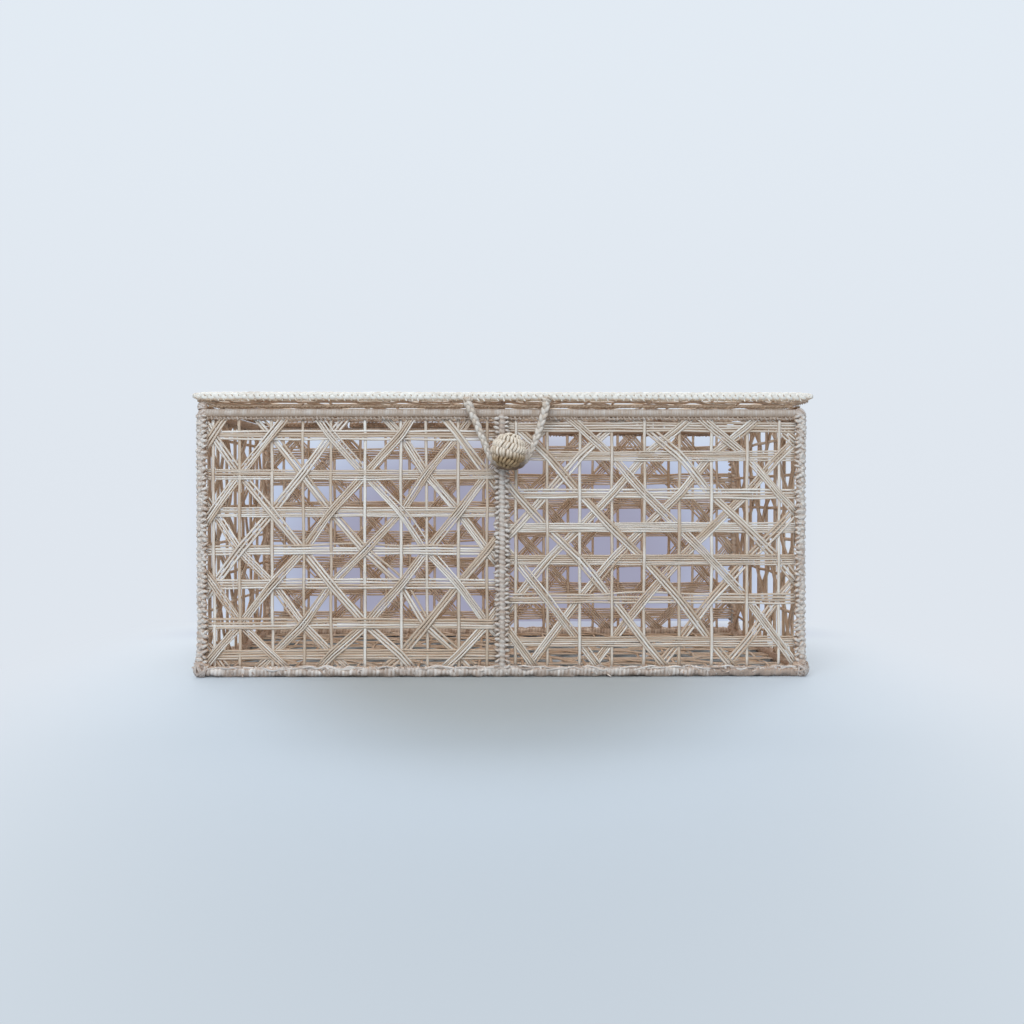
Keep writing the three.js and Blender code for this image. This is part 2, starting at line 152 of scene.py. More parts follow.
def wander(along, seed):
    """Return a smooth random value between about -1 and 1 for a place along a line."""
    return noise.noise(Vector((along, seed, 0)))


# %% [markdown]
# ## One strand
# A strand of straw is a long flat tube. Its mesh starts as a flat grid that is rolled up, its seam is
# merged and its ends are closed. Copies of such tubes are then laid along their lines. Every vertex
# keeps two notes for the material: how brown this strand is, and where it lies along the fibre.

# %% Rolled tubes
SEAM_REACH = 1e-5
tubes = {}


def new_work():
    """Return an empty mesh that keeps the two notes for the material."""
    work = bmesh.new()
    work.verts.layers.float.new("tone")
    work.verts.layers.float_vector.new("fibre")
    return work


def notes_of(work):
    """Return the layers of a mesh that hold its brownness and its places along the fibre."""
    return work.verts.layers.float["tone"], work.verts.layers.float_vector["fibre"]


def rolled_tube(steps, sides):
    """Return a copy of a closed tube along X, one unit long and one unit in radius."""
    if (steps, sides) not in tubes:
        tube = new_work()
        bmesh.ops.create_grid(tube, x_segments=steps, y_segments=sides, size=0.5)
        for vert in tube.verts:
            angle = math.tau * (vert.co.y + 0.5)
            vert.co = (vert.co.x + 0.5, math.cos(angle), math.sin(angle))
        bmesh.ops.remove_doubles(tube, verts=tube.verts, dist=SEAM_REACH)
        bmesh.ops.holes_fill(tube, edges=tube.edges)
        bmesh.ops.recalc_face_normals(tube, faces=tube.faces)
        tubes[(steps, sides)] = tube
    return tubes[(steps, sides)].copy()


# %% Strands laid along lines
# Painted shade: how much browner a strand's edges are, where its neighbours shade them.
EDGE_SHADE_TONE = 0.55
EDGE_SHARPNESS = 4
FIBRE_RANGE = 400
pouring_mesh = bpy.data.meshes.new("pouring")


def pour(part, target):
    """Add a part's mesh to a larger one."""
    part.to_mesh(pouring_mesh)
    target.from_mesh(pouring_mesh)
    part.free()


def sweep(target, line, across, half_width, half_height, tone, sides=6, widths=None):
    """Lay a flat strand along a line of points in millimetres. Its edges are browner: painted shade between
    strands.
    """
    steps = len(line) - 1
    strand = rolled_tube(steps, sides)
    tone_note, fibre_note = notes_of(strand)
    shift = Vector([dice.uniform(0, FIBRE_RANGE) for _ in range(3)])
    stations = []
    travelled = 0.0
    for index, point in enumerate(line):
        forward = heading(line, index).normalized()
        side = across[index] - forward * across[index].dot(forward)
        side.normalize()
        if index:
            travelled += (point - line[index - 1]).length
        scale = widths[index] if widths else 1.0
        upward = forward.cross(side) * half_height * scale
        stations.append((point, side * half_width * scale, upward, travelled))
    for vert in strand.verts:
        point, side, upward, along = stations[round(vert.co.x * steps)]
        vert[tone_note] = tone + EDGE_SHADE_TONE * abs(vert.co.y) ** EDGE_SHARPNESS
        vert[fibre_note] = Vector((along, vert.co.y, vert.co.z)) + shift
        vert.co = (point + side * vert.co.y + upward * vert.co.z) * MM
    pour(strand, target)


# %% [markdown]
# ## Braids
# A three-strand braid is three equal strands, each a third of a turn behind the last. Seen from above
# a strand swings from side to side, and seen from the side it dips twice as often, so that it passes
# over one neighbour and under the other.

# %% Braided lines
def braid(target, line, across, period, swing, dip, half_width, half_height, tones, sides=8, scales=None):
    """Lay a three-strand braid round a line of points in millimetres."""
    spacing = line_length(line) / (len(line) - 1)
    for number in range(3):
        strand = []
        for index, point in enumerate(line):
            forward = heading(line, index).normalized()
            side = (across[index] - forward * across[index].dot(forward)).normalized()
            upward = forward.cross(side)
            turn = math.tau * (index * spacing / period + number / 3)
            scale = scales[index] if scales else 1.0
            swung = side * (swing * scale * math.sin(turn))
            dipped = upward * (dip * scale * math.sin(2 * turn))
            strand.append(point + swung + dipped)
        sweep(target, strand, across, half_width, half_height, tones[number], sides, scales)


# %% [markdown]
# ## Finishes
# Everything here is straw, but not the same straw. The outside is a greyish cream, and what faces
# into the box is golden brown, which is painted shade of the box's inside. Each strand has its own
# tone and fine streaks that run along its fibre. Two node groups hold what all the straw shares: one
# streaks and mottles a colour along the fibre, and one paints shade in gold on whatever faces the
# middle of the box. A few helpers come first, because the same kinds of node are needed again
# and again.

# %% New groups, materials and nodes
def new_group(name, inputs, outputs):
    """Return a shader node group with its input and output nodes."""
    group = bpy.data.node_groups.new(name, "ShaderNodeTree")
    for label, kind in inputs:
        group.interface.new_socket(label, in_out="INPUT", socket_type=kind)
    for label, kind in outputs:
        group.interface.new_socket(label, in_out="OUTPUT", socket_type=kind)
    return group, group.nodes.new("NodeGroupInput"), group.nodes.new("NodeGroupOutput")


def new_material(name):
    """Return a new material, its node tree and its shader."""
    material = bpy.data.materials.new(name)
    material.use_nodes = True
    tree = material.node_tree
    return material, tree, tree.nodes["Principled BSDF"]


def add_node(tree, kind, **settings):
    """Return a new node with some of its settings changed."""
    node = tree.nodes.new(kind)
    for name, value in settings.items():
        setattr(node, name, value)
    return node


def fill_sockets(tree, sockets, values):
    """Give each socket its value, or link it where the value is another socket."""
    for socket, value in zip(sockets, values):
        if hasattr(value, "is_linked"):
            tree.links.new(value, socket)
        else:
            socket.default_value = value


# %% Mathematics and mixing
# A Mix node has sockets for every kind of value. These are the places of its colour ones.
MIX_SHARE = 0
MIX_FIRST = 6
MIX_SECOND = 7
MIX_RESULT = 2


def math_node(tree, operation, *values, clamp=False):
    """Return the output of a Math node on values or sockets."""
    node = add_node(tree, "ShaderNodeMath", operation=operation, use_clamp=clamp)
    fill_sockets(tree, node.inputs, values)
    return node.outputs[0]


def vector_node(tree, operation, *values, output=0):
    """Return an output of a Vector Math node on vectors or sockets."""
    node = add_node(tree, "ShaderNodeVectorMath", operation=operation)
    fill_sockets(tree, node.inputs, values)
    return node.outputs[output]


def mix_colours(tree, share, first, second, blend="MIX"):
    """Return the output of a colour Mix node."""
    node = add_node(tree, "ShaderNodeMix", data_type="RGBA", blend_type=blend)
    sockets = [node.inputs[place] for place in (MIX_SHARE, MIX_FIRST, MIX_SECOND)]
    fill_sockets(tree, sockets, (share, first, second))
    return node.outputs[MIX_RESULT]


# %% Ranges and noise
def range_share(tree, value, start, end, step="LINEAR"):
    """Return 0 at start, 1 at end and a step of the given kind between them."""
    node = add_node(tree, "ShaderNodeMapRange", interpolation_type=step)
    node.inputs["From Min"].default_value = start
    node.inputs["From Max"].default_value = end
    tree.links.new(value, node.inputs["Value"])
    return node.outputs[0]


def split_vector(tree, vector):
    """Return the X, Y and Z of a vector."""
    node = add_node(tree, "ShaderNodeSeparateXYZ")
    tree.links.new(vector, node.inputs[0])
    return node.outputs["X"], node.outputs["Y"], node.outputs["Z"]


def stretched_noise(tree, vector, stretch, detail=3.0):
    """Return a noise value. A small number in stretch draws it out in that direction."""
    grain = add_node(tree, "ShaderNodeTexNoise")
    grain.inputs["Scale"].default_value = 1.0
    grain.inputs["Detail"].default_value = detail
    tree.links.new(vector_node(tree, "MULTIPLY", vector, stretch), grain.inputs["Vector"])
    return grain.outputs[0]


# %% [markdown]
# Straw is streaked along its fibre. A noise that is drawn out along the fibre gives long streaks,
# a broad one gives soft patches and a fine one gives dark specks. An image could show them too, but
# noise has no seams and no size, and every strand finds its own part of it.

# %% Straw grain group
# Each range is a factor on the noise and an amount that is added to it.
STREAK_STRETCH = (0.035, 1.5, 1.5)
STREAK_RANGE = (1.6, -0.5)
STREAK_STRENGTH = 0.5
PATCH_STRETCH = (0.06, 0.2, 0.2)
PATCH_RANGE = (1.8, -0.75)
SPECK_STRETCH = (0.9, 1.4, 1.4)
SPECK_RANGE = (4.0, -2.5)
SPECK_STRENGTH = 0.6
ROUGHNESS_RANGE = (0.25, 0.5)
grain_group, grain_in, grain_out = new_group(
    "straw_grain",
    [("Fibre", "NodeSocketVector"), ("Tone", "NodeSocketFloat"), ("Pale", "NodeSocketColor"),
     ("Warm", "NodeSocketColor"), ("Dark", "NodeSocketColor")],
    [("Color", "NodeSocketColor"), ("Height", "NodeSocketFloat"), ("Roughness", "NodeSocketFloat")],
)
fibre_place = grain_in.outputs["Fibre"]
warm_colour = grain_in.outputs["Warm"]
streaks = stretched_noise(grain_group, fibre_place, STREAK_STRETCH)
patches = stretched_noise(grain_group, fibre_place, PATCH_STRETCH, 2.0)
specks = stretched_noise(grain_group, fibre_place, SPECK_STRETCH, 4.0)
patch_share = math_node(grain_group, "MULTIPLY_ADD", patches, *PATCH_RANGE)
warm_share = math_node(grain_group, "ADD", grain_in.outputs["Tone"], patch_share, clamp=True)
fibre_colour = mix_colours(grain_group, warm_share, grain_in.outputs["Pale"], warm_colour)
streak_share = math_node(grain_group, "MULTIPLY_ADD", streaks, *STREAK_RANGE)
streak_share = math_node(grain_group, "MULTIPLY", streak_share, STREAK_STRENGTH, clamp=True)
streaked = mix_colours(grain_group, streak_share, fibre_colour, warm_colour)
speck_share = math_node(grain_group, "MULTIPLY_ADD", specks, *SPECK_RANGE, clamp=True)
speck_share = math_node(grain_group, "MULTIPLY", speck_share, SPECK_STRENGTH)
specked = mix_colours(grain_group, speck_share, streaked, grain_in.outputs["Dark"])
rough_value = math_node(grain_group, "MULTIPLY_ADD", streaks, *ROUGHNESS_RANGE)
grain_group.links.new(specked, grain_out.inputs["Color"])
grain_group.links.new(streaks, grain_out.inputs["Height"])
grain_group.links.new(rough_value, grain_out.inputs["Roughness"])
print("grain group nodes", len(grain_group.nodes))

# %% [markdown]
# The second group paints the shade inside the box. It compares the way a surface faces with the way
# out from the heart of the box. Where the two agree the colour stays pale, and where they don't it is
# multiplied with gold as painted shade. No piece has to be painted by hand.

# %% Painted inside shade group
BOX_HEART = (0, 0, 0.06)
BOX_ROUNDING = (0.5, 1.0, 1.1)
FACING_OUT = 0.35
FACING_IN = -0.25
inside_shade_group, inside_shade_in, inside_shade_out = new_group(
    "painted_inside_shade",
    [("Color", "NodeSocketColor"), ("Position", "NodeSocketVector"), ("Normal", "NodeSocketVector"),
     ("Shade", "NodeSocketColor"), ("Amount", "NodeSocketFloat")],
    [("Color", "NodeSocketColor")],
)
from_heart = vector_node(inside_shade_group, "SUBTRACT", inside_shade_in.outputs["Position"], BOX_HEART)
rounded = vector_node(inside_shade_group, "MULTIPLY", from_heart, BOX_ROUNDING)
outward = vector_node(inside_shade_group, "NORMALIZE", rounded)
facing = vector_node(inside_shade_group, "DOT_PRODUCT", outward, inside_shade_in.outputs["Normal"], output="Value")
inside_share = range_share(inside_shade_group, facing, FACING_OUT, FACING_IN)
shade_share = math_node(inside_shade_group, "MULTIPLY", inside_share, inside_shade_in.outputs["Amount"])
shaded = mix_colours(
    inside_shade_group, shade_share, inside_shade_in.outputs["Color"], inside_shade_in.outputs["Shade"], "MULTIPLY"
)
inside_shade_group.links.new(shaded, inside_shade_out.inputs["Color"])
print("bleaching group nodes", len(inside_shade_group.nodes))

# %% Straw material
# Painted shade: the gold that multiplies straw facing into the box.
GOLDEN_PAINTED_SHADE = (1.07, 0.89, 0.74, 1)
STRAW_GLOSS = 0.35
RIDGE_STRENGTH = 0.35
RIDGE_HEIGHT = 0.0002


def darken_low(tree, position, colour, low_colour, height, reach):
    """Multiply a colour into whatever lies lower than a height. It fades in over the reach."""
    share = range_share(tree, split_vector(tree, position)[2], height, height - reach)
    return mix_colours(tree, share, colour, (*low_colour, 1), "MULTIPLY")


def straw_material(name, pale, warm, dark, inside=1.0, low=None):
    """Return a straw finish. Inside scales the painted shade on what faces into the box.
    Low, if given, is a colour, a height and a reach over which it fades in.
    """
    material, tree, shader = new_material(name)
    place = add_node(tree, "ShaderNodeTexCoord")
    fibre = add_node(tree, "ShaderNodeAttribute", attribute_name="fibre")
    tone = add_node(tree, "ShaderNodeAttribute", attribute_name="tone")
    grain = add_node(tree, "ShaderNodeGroup", node_tree=grain_group)
    tree.links.new(fibre.outputs["Vector"], grain.inputs["Fibre"])
    tree.links.new(tone.outputs["Fac"], grain.inputs["Tone"])
    grain.inputs["Pale"].default_value = (*pale, 1)
    grain.inputs["Warm"].default_value = (*warm, 1)
    grain.inputs["Dark"].default_value = (*dark, 1)
    # Painted shade: whatever faces into the box is multiplied with gold.
    inside_shade_node = add_node(tree, "ShaderNodeGroup", node_tree=inside_shade_group)
    tree.links.new(grain.outputs["Color"], inside_shade_node.inputs["Color"])
    tree.links.new(place.outputs["Object"], inside_shade_node.inputs["Position"])
    tree.links.new(place.outputs["Normal"], inside_shade_node.inputs["Normal"])
    inside_shade_node.inputs["Shade"].default_value = GOLDEN_PAINTED_SHADE
    inside_shade_node.inputs["Amount"].default_value = inside
    colour = inside_shade_node.outputs["Color"]
    if low:
        colour = darken_low(tree, place.outputs["Object"], colour, *low)
    tree.links.new(colour, shader.inputs["Base Color"])
    tree.links.new(grain.outputs["Roughness"], shader.inputs["Roughness"])
    shader.inputs["Specular IOR Level"].default_value = STRAW_GLOSS
    ridges = add_node(tree, "ShaderNodeBump")
    ridges.inputs["Strength"].default_value = RIDGE_STRENGTH
    ridges.inputs["Distance"].default_value = RIDGE_HEIGHT
    tree.links.new(grain.outputs["Height"], ridges.inputs["Height"])
    tree.links.new(ridges.outputs[0], shader.inputs["Normal"])
    return material


# %% [markdown]
# Each part of the box has its own straw: pale strands in the panels, greyer windings, a brown
# braid. A finish names a pale, a warm and a dark colour. The ball and the loop also fade to a darker
# low colour towards their bottoms; on the loop this is painted shade where it hangs under the ball.

# %% Straw finishes
panel_straw = straw_material("panel_straw", (0.73, 0.71, 0.67), (0.49, 0.39, 0.30), (0.22, 0.14, 0.08))
lid_straw = straw_material("lid_straw", (0.78, 0.75, 0.69), (0.56, 0.45, 0.35), (0.24, 0.15, 0.09))
wrap_straw = straw_material("wrap_straw", (0.51, 0.475, 0.445), (0.38, 0.30, 0.24), (0.18, 0.12, 0.07))
base_straw = straw_material("base_straw", (0.74, 0.71, 0.68), (0.36, 0.28, 0.23), (0.18, 0.12, 0.08))
post_straw = straw_material("post_straw", (0.61, 0.58, 0.545), (0.42, 0.33, 0.27), (0.17, 0.11, 0.08))
edging_straw = straw_material("edging_straw", (0.78, 0.76, 0.71), (0.42, 0.32, 0.23), (0.28, 0.19, 0.12))
braid_straw = straw_material("braid_straw", (0.58, 0.45, 0.34), (0.36, 0.26, 0.18), (0.14, 0.09, 0.05))
knot_straw = straw_material("knot_straw", (0.60, 0.56, 0.53), (0.40, 0.32, 0.27), (0.16, 0.11, 0.09))
button_straw = straw_material(
    "button_straw", (0.75, 0.67, 0.57), (0.38, 0.27, 0.17), (0.20, 0.13, 0.07), inside=0.4,
    low=((0.50, 0.40, 0.27), 0.1110, 0.0035),
)
# Painted shade: the loop darkens towards its bottom, where it hangs under the ball.
cord_straw = straw_material(
    "cord_straw", (0.64, 0.60, 0.55), (0.46, 0.37, 0.29), (0.22, 0.15, 0.10), inside=0.4,
    low=((0.36, 0.27, 0.20), 0.1080, 0.0045),
)
print("finishes", sorted(material.name for material in bpy.data.materials if "straw" in material.name))

# %% [markdown]
# The wires are stiff drawn steel, and the straw hides them. Their solids already have the right
# shape, so they keep it and only get a material: a dull grey with a fine grain.

# %% Wire material
WIRE_GRAIN = (900, 900, 900)


def wire_material():
    """Return the dull drawn steel of the hidden wires."""
    material, tree, shader = new_material("frame_wire")
    place = add_node(tree, "ShaderNodeTexCoord")
    drawn = stretched_noise(tree, place.outputs["Object"], WIRE_GRAIN)
    colour = mix_colours(tree, drawn, (0.42, 0.42, 0.41, 1), (0.50, 0.50, 0.49, 1))
    tree.links.new(colour, shader.inputs["Base Color"])
    tree.links.new(drawn, shader.inputs["Roughness"])
    shader.inputs["Metallic"].default_value = 1.0
    return material


frame_wire = wire_material()
wire_names = [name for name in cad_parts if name.endswith("_wire") or "_wire_" in name]
for wire_name in wire_names:
    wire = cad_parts[wire_name]
    if wire.material_slots:
        wire.material_slots[0].material = frame_wire
print("wires", len(wire_names))

# %% [markdown]
# ## Pieces
# Mesh work becomes an object at the origin, with its place in its mesh. Then the solids that the piece
# stands for are hidden, and the piece is parented to the body it moves with.

# %% Finishing a piece
def mesh_object(work, name, material):
    """Turn finished mesh work into an object with one material."""
    mesh = bpy.data.meshes.new(name)
    work.to_mesh(mesh)
    work.free()
    mesh.shade_smooth()
    mesh.materials.append(material)
    made = bpy.data.objects.new(name, mesh)
    scene.collection.objects.link(made)
    return made


def finish_piece(work, name, material, slot, body, *nodes):
    """Turn finished mesh work into a piece that rides on a body and stands for its solids."""
    piece = mesh_object(work, name, material)
    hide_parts(*nodes)
    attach(piece, body)
    triangles = sum(len(face.vertices) - 2 for face in piece.data.polygons)
    print(name, "triangles", triangles)
    return piece


# %% [markdown]
# ## The closure loop
# A braided cord hangs from two knots on the lid's front edge and hooks under the ball. It is limp and
# hangs free between its ends. Its route repeats the points of the solid, measured from the lid's
# lower front edge. The braid narrows towards the ball and flares a little where its ends are sewn in.

# %% Route of the loop
LID_FRONT_EDGE = Vector((0, -82.4, 136.3))
LOOP_ROUTE = [
    (-16.8, -2.1, -1), (-14.6, -2.1, -6.3), (-11.9, -2, -12.8), (-8.6, -1.7, -20.9), (-6.3, -1.4, -26.7),
    (-4, -1.1, -30.4), (-0.6, -0.9, -32.5), (4, -0.8, -33.2), (8.7, -0.9, -32.2), (12.2, -1.1, -28.6),
    (14.9, -1.5, -22.9), (17.3, -1.8, -16.7), (19.4, -2, -9.9), (20.9, -2.1, -5.3), (21.6, -2.1, -1),
]
LOOP_STEPS = 120
loop_line = even_line(smooth_line([LID_FRONT_EDGE + Vector(point) for point in LOOP_ROUTE]), LOOP_STEPS)

# %% Closure loop
LOOP_LOWEST = 0.52
LOOP_NARROW = 0.64
LOOP_WIDENING = 0.44
LOOP_WIDE_FROM = 0.6
LOOP_FLARE = 0.22
LOOP_FLARE_FROM = 0.84


def across_facing(line, view):
    """Return directions across a line that lie flat to someone looking along view."""
    return [view.cross(heading(line, index).normalized()).normalized() for index in range(len(line))]


loop_scales = []
for index in range(len(loop_line)):
    from_bottom = abs(index / (len(loop_line) - 1) - LOOP_LOWEST) / 0.5
    flare = LOOP_FLARE * max(0.0, (from_bottom - LOOP_FLARE_FROM) / 0.16)
    loop_scales.append(LOOP_NARROW + LOOP_WIDENING * min(1.0, from_bottom / LOOP_WIDE_FROM) ** 1.3 + flare)
loop_work = new_work()
braid(
    loop_work, loop_line, across_facing(loop_line, Vector((0, -1, 0))), period=10.5, swing=0.85, dip=0.62,
    half_width=0.95, half_height=0.72, tones=(-0.1, 0.1, 0.3), scales=loop_scales,
)
closure_loop = finish_piece(loop_work, "braided_loop", cord_straw, "cord_straw", "loop", "closure_loop")

# %% [markdown]
# ## Floor, light and background
# The object stands on a pale blue-grey sheet, and a second sheet stands behind it. In the photograph
# the surface behind the gaps of the weave lies in the object's own shade. Both sheets imitate that
# shade with soft tints. The tints are fixed to their places on the stage and not to the camera, and
# those places suit the view from the front. Close round the object the floor shows its real lit
# surface and keeps the object's real shadow. That fades out before the wall's foot, and further out
# and on the wall the camera finds a painted colour without shadow.

# %% Soft zones on the stage
WALL_PLACE = 0.155


def smooth_range(tree, value, start, end):
    """Return 0 before start, 1 after end and a gentle step between them."""
    return range_share(tree, value, start, end, "SMOOTHSTEP")


def reverse_range(tree, value, start, end):
    """Return 1 before start, 0 after end and a gentle step between them."""
    return math_node(tree, "SUBTRACT", 1.0, smooth_range(tree, value, start, end))


def oval_distance(tree, place, middle, half_sizes):
    """Return 0 in the middle of an oval and 1 on its rim. A half size of 0 counts that direction out."""
    shift = vector_node(tree, "SUBTRACT", place, middle)
    factors = [1 / size if size else 0 for size in half_sizes]
    return vector_node(tree, "LENGTH", vector_node(tree, "MULTIPLY", shift, factors), output="Value")


def inside_oval(tree, place, oval):
    """Return 1 inside an oval and 0 outside it. An oval is its middle, half sizes and soft rim."""
    middle, half_sizes, rim = oval
    return reverse_range(tree, oval_distance(tree, place, middle, half_sizes), *rim)


# %% Colour of the wall
SKY_COLOUR = (0.765, 0.83, 0.90, 1)
BLUE_SHADE = (0.72, 0.78, 0.93, 1)
BLUE_WIDTH = (0.165, 0.226)
BLUE_HEIGHT = (0.10, 0.162)
LAVENDER_SHADE = (0.66, 0.57, 0.59, 1)
LAVENDER_OVAL = ((0, 0, 0.045), (0.222, 0, 0.125), (0.45, 0.9))


def wall_colour(tree, place, plain):
    """Tint a soft patch on the wall, which lies in the object's shade in the photograph."""
    sideways, _, height = split_vector(tree, place)
    low = reverse_range(tree, height, *BLUE_HEIGHT)
    near = reverse_range(tree, math_node(tree, "ABSOLUTE", sideways), *BLUE_WIDTH)
    plain = mix_colours(tree, math_node(tree, "MULTIPLY", near, low), plain, BLUE_SHADE, "MULTIPLY")
    return mix_colours(tree, inside_oval(tree, place, LAVENDER_OVAL), plain, LAVENDER_SHADE, "MULTIPLY")


# %% Colours of the floor
# Every depth is a pair of places from front to back, between which a zone fades in or out.
# Painted shade: the shade colours and the back tint darken the floor round the object, and the front colours
# darken it towards the front.
FRONT_DEPTH = (-0.42, -0.05)
FRONT_SHADED_COLOUR = (0.67, 0.74, 0.81, 1)
BROAD_OVAL = ((0, 0, 0), (0.2, 0.9, 0), (0.2, 1.0))
BROAD_DEPTH = (-0.24, -0.10)
BROAD_SHADE = (0.80, 0.82, 0.84, 1)
BACK_OVAL = ((0, 0.06, 0), (0.24, 0.17, 0), (0.55, 1.0))
BACK_DEPTH = (0.05, 0.10)
BACK_SHADE = (0.64, 0.64, 0.72, 1)
BACK_SHADE_ON_LIT = (0.88, 0.85, 0.95, 1)
FAR_HALF_SIZES = (1.3, 1.3, 0)
FAR_RIM = (0.4, 1.0)
LIT_COLOUR = (0.565, 0.62, 0.675, 1)
LIT_FRONT_SHADED_COLOUR = (0.40, 0.45, 0.50, 1)
LIT_OVAL = ((0, 0, 0), (0.26, 0.44, 0), (0.5, 1.0))
LIT_DEPTH = (0.105, WALL_PLACE)
CLOSE_OVAL = ((0, 0, 0), (0.14, 0.33, 0), (0.45, 1.0))
CLOSE_DEPTH = (-0.08, 0.0)
CLOSE_SHADE = (0.70, 0.67, 0.62, 1)


def before_depth(tree, place, oval, depth, limits):
    """Return 1 inside the front part of an oval, up to a soft limit of depth."""
    return math_node(tree, "MULTIPLY", inside_oval(tree, place, oval), reverse_range(tree, depth, *limits))


def behind_object(tree, place, depth):
    """Return 1 on the floor just behind the object and 0 away from it."""
    near = inside_oval(tree, place, BACK_OVAL)
    return math_node(tree, "MULTIPLY", near, smooth_range(tree, depth, *BACK_DEPTH))


def painted_floor_colour(tree, place, depth, plain):
    """Return the painted colour round the object, with painted shade near it, ending in the sky's colour."""
    plain = mix_colours(tree, smooth_range(tree, depth, *FRONT_DEPTH), FRONT_SHADED_COLOUR, plain)
    broad = before_depth(tree, place, BROAD_OVAL, depth, BROAD_DEPTH)
    plain = mix_colours(tree, broad, plain, BROAD_SHADE, "MULTIPLY")
    plain = mix_colours(tree, behind_object(tree, place, depth), plain, BACK_SHADE, "MULTIPLY")
    far = smooth_range(tree, oval_distance(tree, place, (0, 0, 0), FAR_HALF_SIZES), *FAR_RIM)
    return mix_colours(tree, far, plain, SKY_COLOUR)


def lit_floor_colour(tree, place, depth):
    """Return the colour of the lit floor, which takes the real shadow and painted shade near the object."""
    lit = mix_colours(tree, smooth_range(tree, depth, *FRONT_DEPTH), LIT_FRONT_SHADED_COLOUR, LIT_COLOUR)
    close = before_depth(tree, place, CLOSE_OVAL, depth, CLOSE_DEPTH)
    lit = mix_colours(tree, close, lit, CLOSE_SHADE, "MULTIPLY")
    return mix_colours(tree, behind_object(tree, place, depth), lit, BACK_SHADE_ON_LIT, "MULTIPLY")


# %% Sheet material
LOW_SKY_COLOUR = (0.74, 0.79, 0.855, 1)
SKY_HEIGHT = (0.0, 0.5)
SHEET_ROUGHNESS = 0.9


def mix_shaders(tree, share, first, second):
    """Return the output of a Mix Shader node."""
    node = add_node(tree, "ShaderNodeMixShader")
    fill_sockets(tree, node.inputs, (share, first, second))
    return node.outputs[0]


def seen_rays(tree):
    """Return the light path node and 1 for camera, glossy and transmission rays."""
    rays = add_node(tree, "ShaderNodeLightPath")
    seen = math_node(tree, "MAXIMUM", rays.outputs["Is Camera Ray"], rays.outputs["Is Glossy Ray"])
    return rays, math_node(tree, "MAXIMUM", seen, rays.outputs["Is Transmission Ray"])


def open_from_behind(tree, rays, surface):
    """Let lamps shine through a sheet, and let nobody see it from behind."""
    geometry = add_node(tree, "ShaderNodeNewGeometry")
    open_share = math_node(tree, "MAXIMUM", geometry.outputs["Backfacing"], rays.outputs["Is Shadow Ray"])
    clear = add_node(tree, "ShaderNodeBsdfTransparent")
    return mix_shaders(tree, open_share, surface, clear.outputs[0])


def sheet_material(name, is_wall):
    """Return the pale sheet. Seen rays find a painted colour, but near the object the lit floor."""
    material, tree, shader = new_material(name)
    shader.inputs["Roughness"].default_value = SHEET_ROUGHNESS
    place = add_node(tree, "ShaderNodeTexCoord").outputs["Object"]
    _, depth, height = split_vector(tree, place)
    plain = mix_colours(tree, smooth_range(tree, height, *SKY_HEIGHT), LOW_SKY_COLOUR, SKY_COLOUR)
    rays, seen = seen_rays(tree)
    if is_wall:
        plain = wall_colour(tree, place, plain)
    else:
        plain = painted_floor_colour(tree, place, depth, plain)
        tree.links.new(lit_floor_colour(tree, place, depth), shader.inputs["Base Color"])
        lit_zone = before_depth(tree, place, LIT_OVAL, depth, LIT_DEPTH)
        seen = math_node(tree, "MULTIPLY", seen, math_node(tree, "SUBTRACT", 1.0, lit_zone))
    glow = add_node(tree, "ShaderNodeEmission")
    tree.links.new(plain, glow.inputs["Color"])
    surface = mix_shaders(tree, seen, shader.outputs[0], glow.outputs[0])
    if is_wall:
        surface = open_from_behind(tree, rays, surface)
    tree.links.new(surface, tree.nodes["Material Output"].inputs["Surface"])
    return material


# %% [markdown]
# The floor is a flat grid. The wall is a grid too: its lower half is squeezed into the first
# centimetres, where the sheet bends up from the floor, and its upper half stands upright.

# %% Floor and wall sheets
FLOOR_HALF_SIZE = 4
WALL_HALF_SIZE = 2
WALL_STEPS = 80
COVE_RADIUS = 0.0006
COVE_SQUEEZE = 0.02
WALL_FOOT = 0.0005
floor_work = bmesh.new()
bmesh.ops.create_grid(floor_work, x_segments=2, y_segments=2, size=FLOOR_HALF_SIZE)
mesh_object(floor_work, "floor_sheet", sheet_material("floor_sheet", False))
wall_work = bmesh.new()
bmesh.ops.create_grid(wall_work, x_segments=2, y_segments=WALL_STEPS, size=WALL_HALF_SIZE)
for vert in wall_work.verts:
    if vert.co.y < 0:
        along = (vert.co.y + WALL_HALF_SIZE) * COVE_SQUEEZE
    else:
        along = WALL_HALF_SIZE * COVE_SQUEEZE + vert.co.y
    bend = min(along / COVE_RADIUS, math.pi / 2)
    rise = max(along - COVE_RADIUS * math.pi / 2, 0)
    vert.co.y = WALL_PLACE - COVE_RADIUS + COVE_RADIUS * math.sin(bend)
    vert.co.z = WALL_FOOT + COVE_RADIUS * (1 - math.cos(bend)) + rise
mesh_object(wall_work, "wall_sheet", sheet_material("wall_sheet", True))
print("wall at", WALL_PLACE, "m behind the middle")

# %% [markdown]
# The main light is soft and comes from above and behind, so the shadow falls forward. A large weak
# light in front and a pale sky keep the front wall readable.

# %% Lights
def area_light(name, place, aim, size, power, colour):
    """Add a rectangular area light that points at a place."""
    data = bpy.data.lights.new(name, "AREA")
    data.shape = "RECTANGLE"
    data.size, data.size_y = size
    data.energy = power
    data.color = colour
    light = bpy.data.objects.new(name, data)
    light.location = place
    light.rotation_euler = (Vector(aim) - Vector(place)).to_track_quat("-Z", "Y").to_euler()
    scene.collection.objects.link(light)
    print(name, power, "W")


area_light(
    "back_window", place=(0.05, 1.15, 1.0), aim=(0, 0, 0.03), size=(2.4, 0.5), power=17,
    colour=(1.0, 0.98, 0.95),
)
area_light(
    "top_front", place=(-0.25, -1.2, 0.95), aim=(0, 0, 0.06), size=(1.3, 0.8), power=16,
    colour=(0.93, 0.97, 1.0),
)

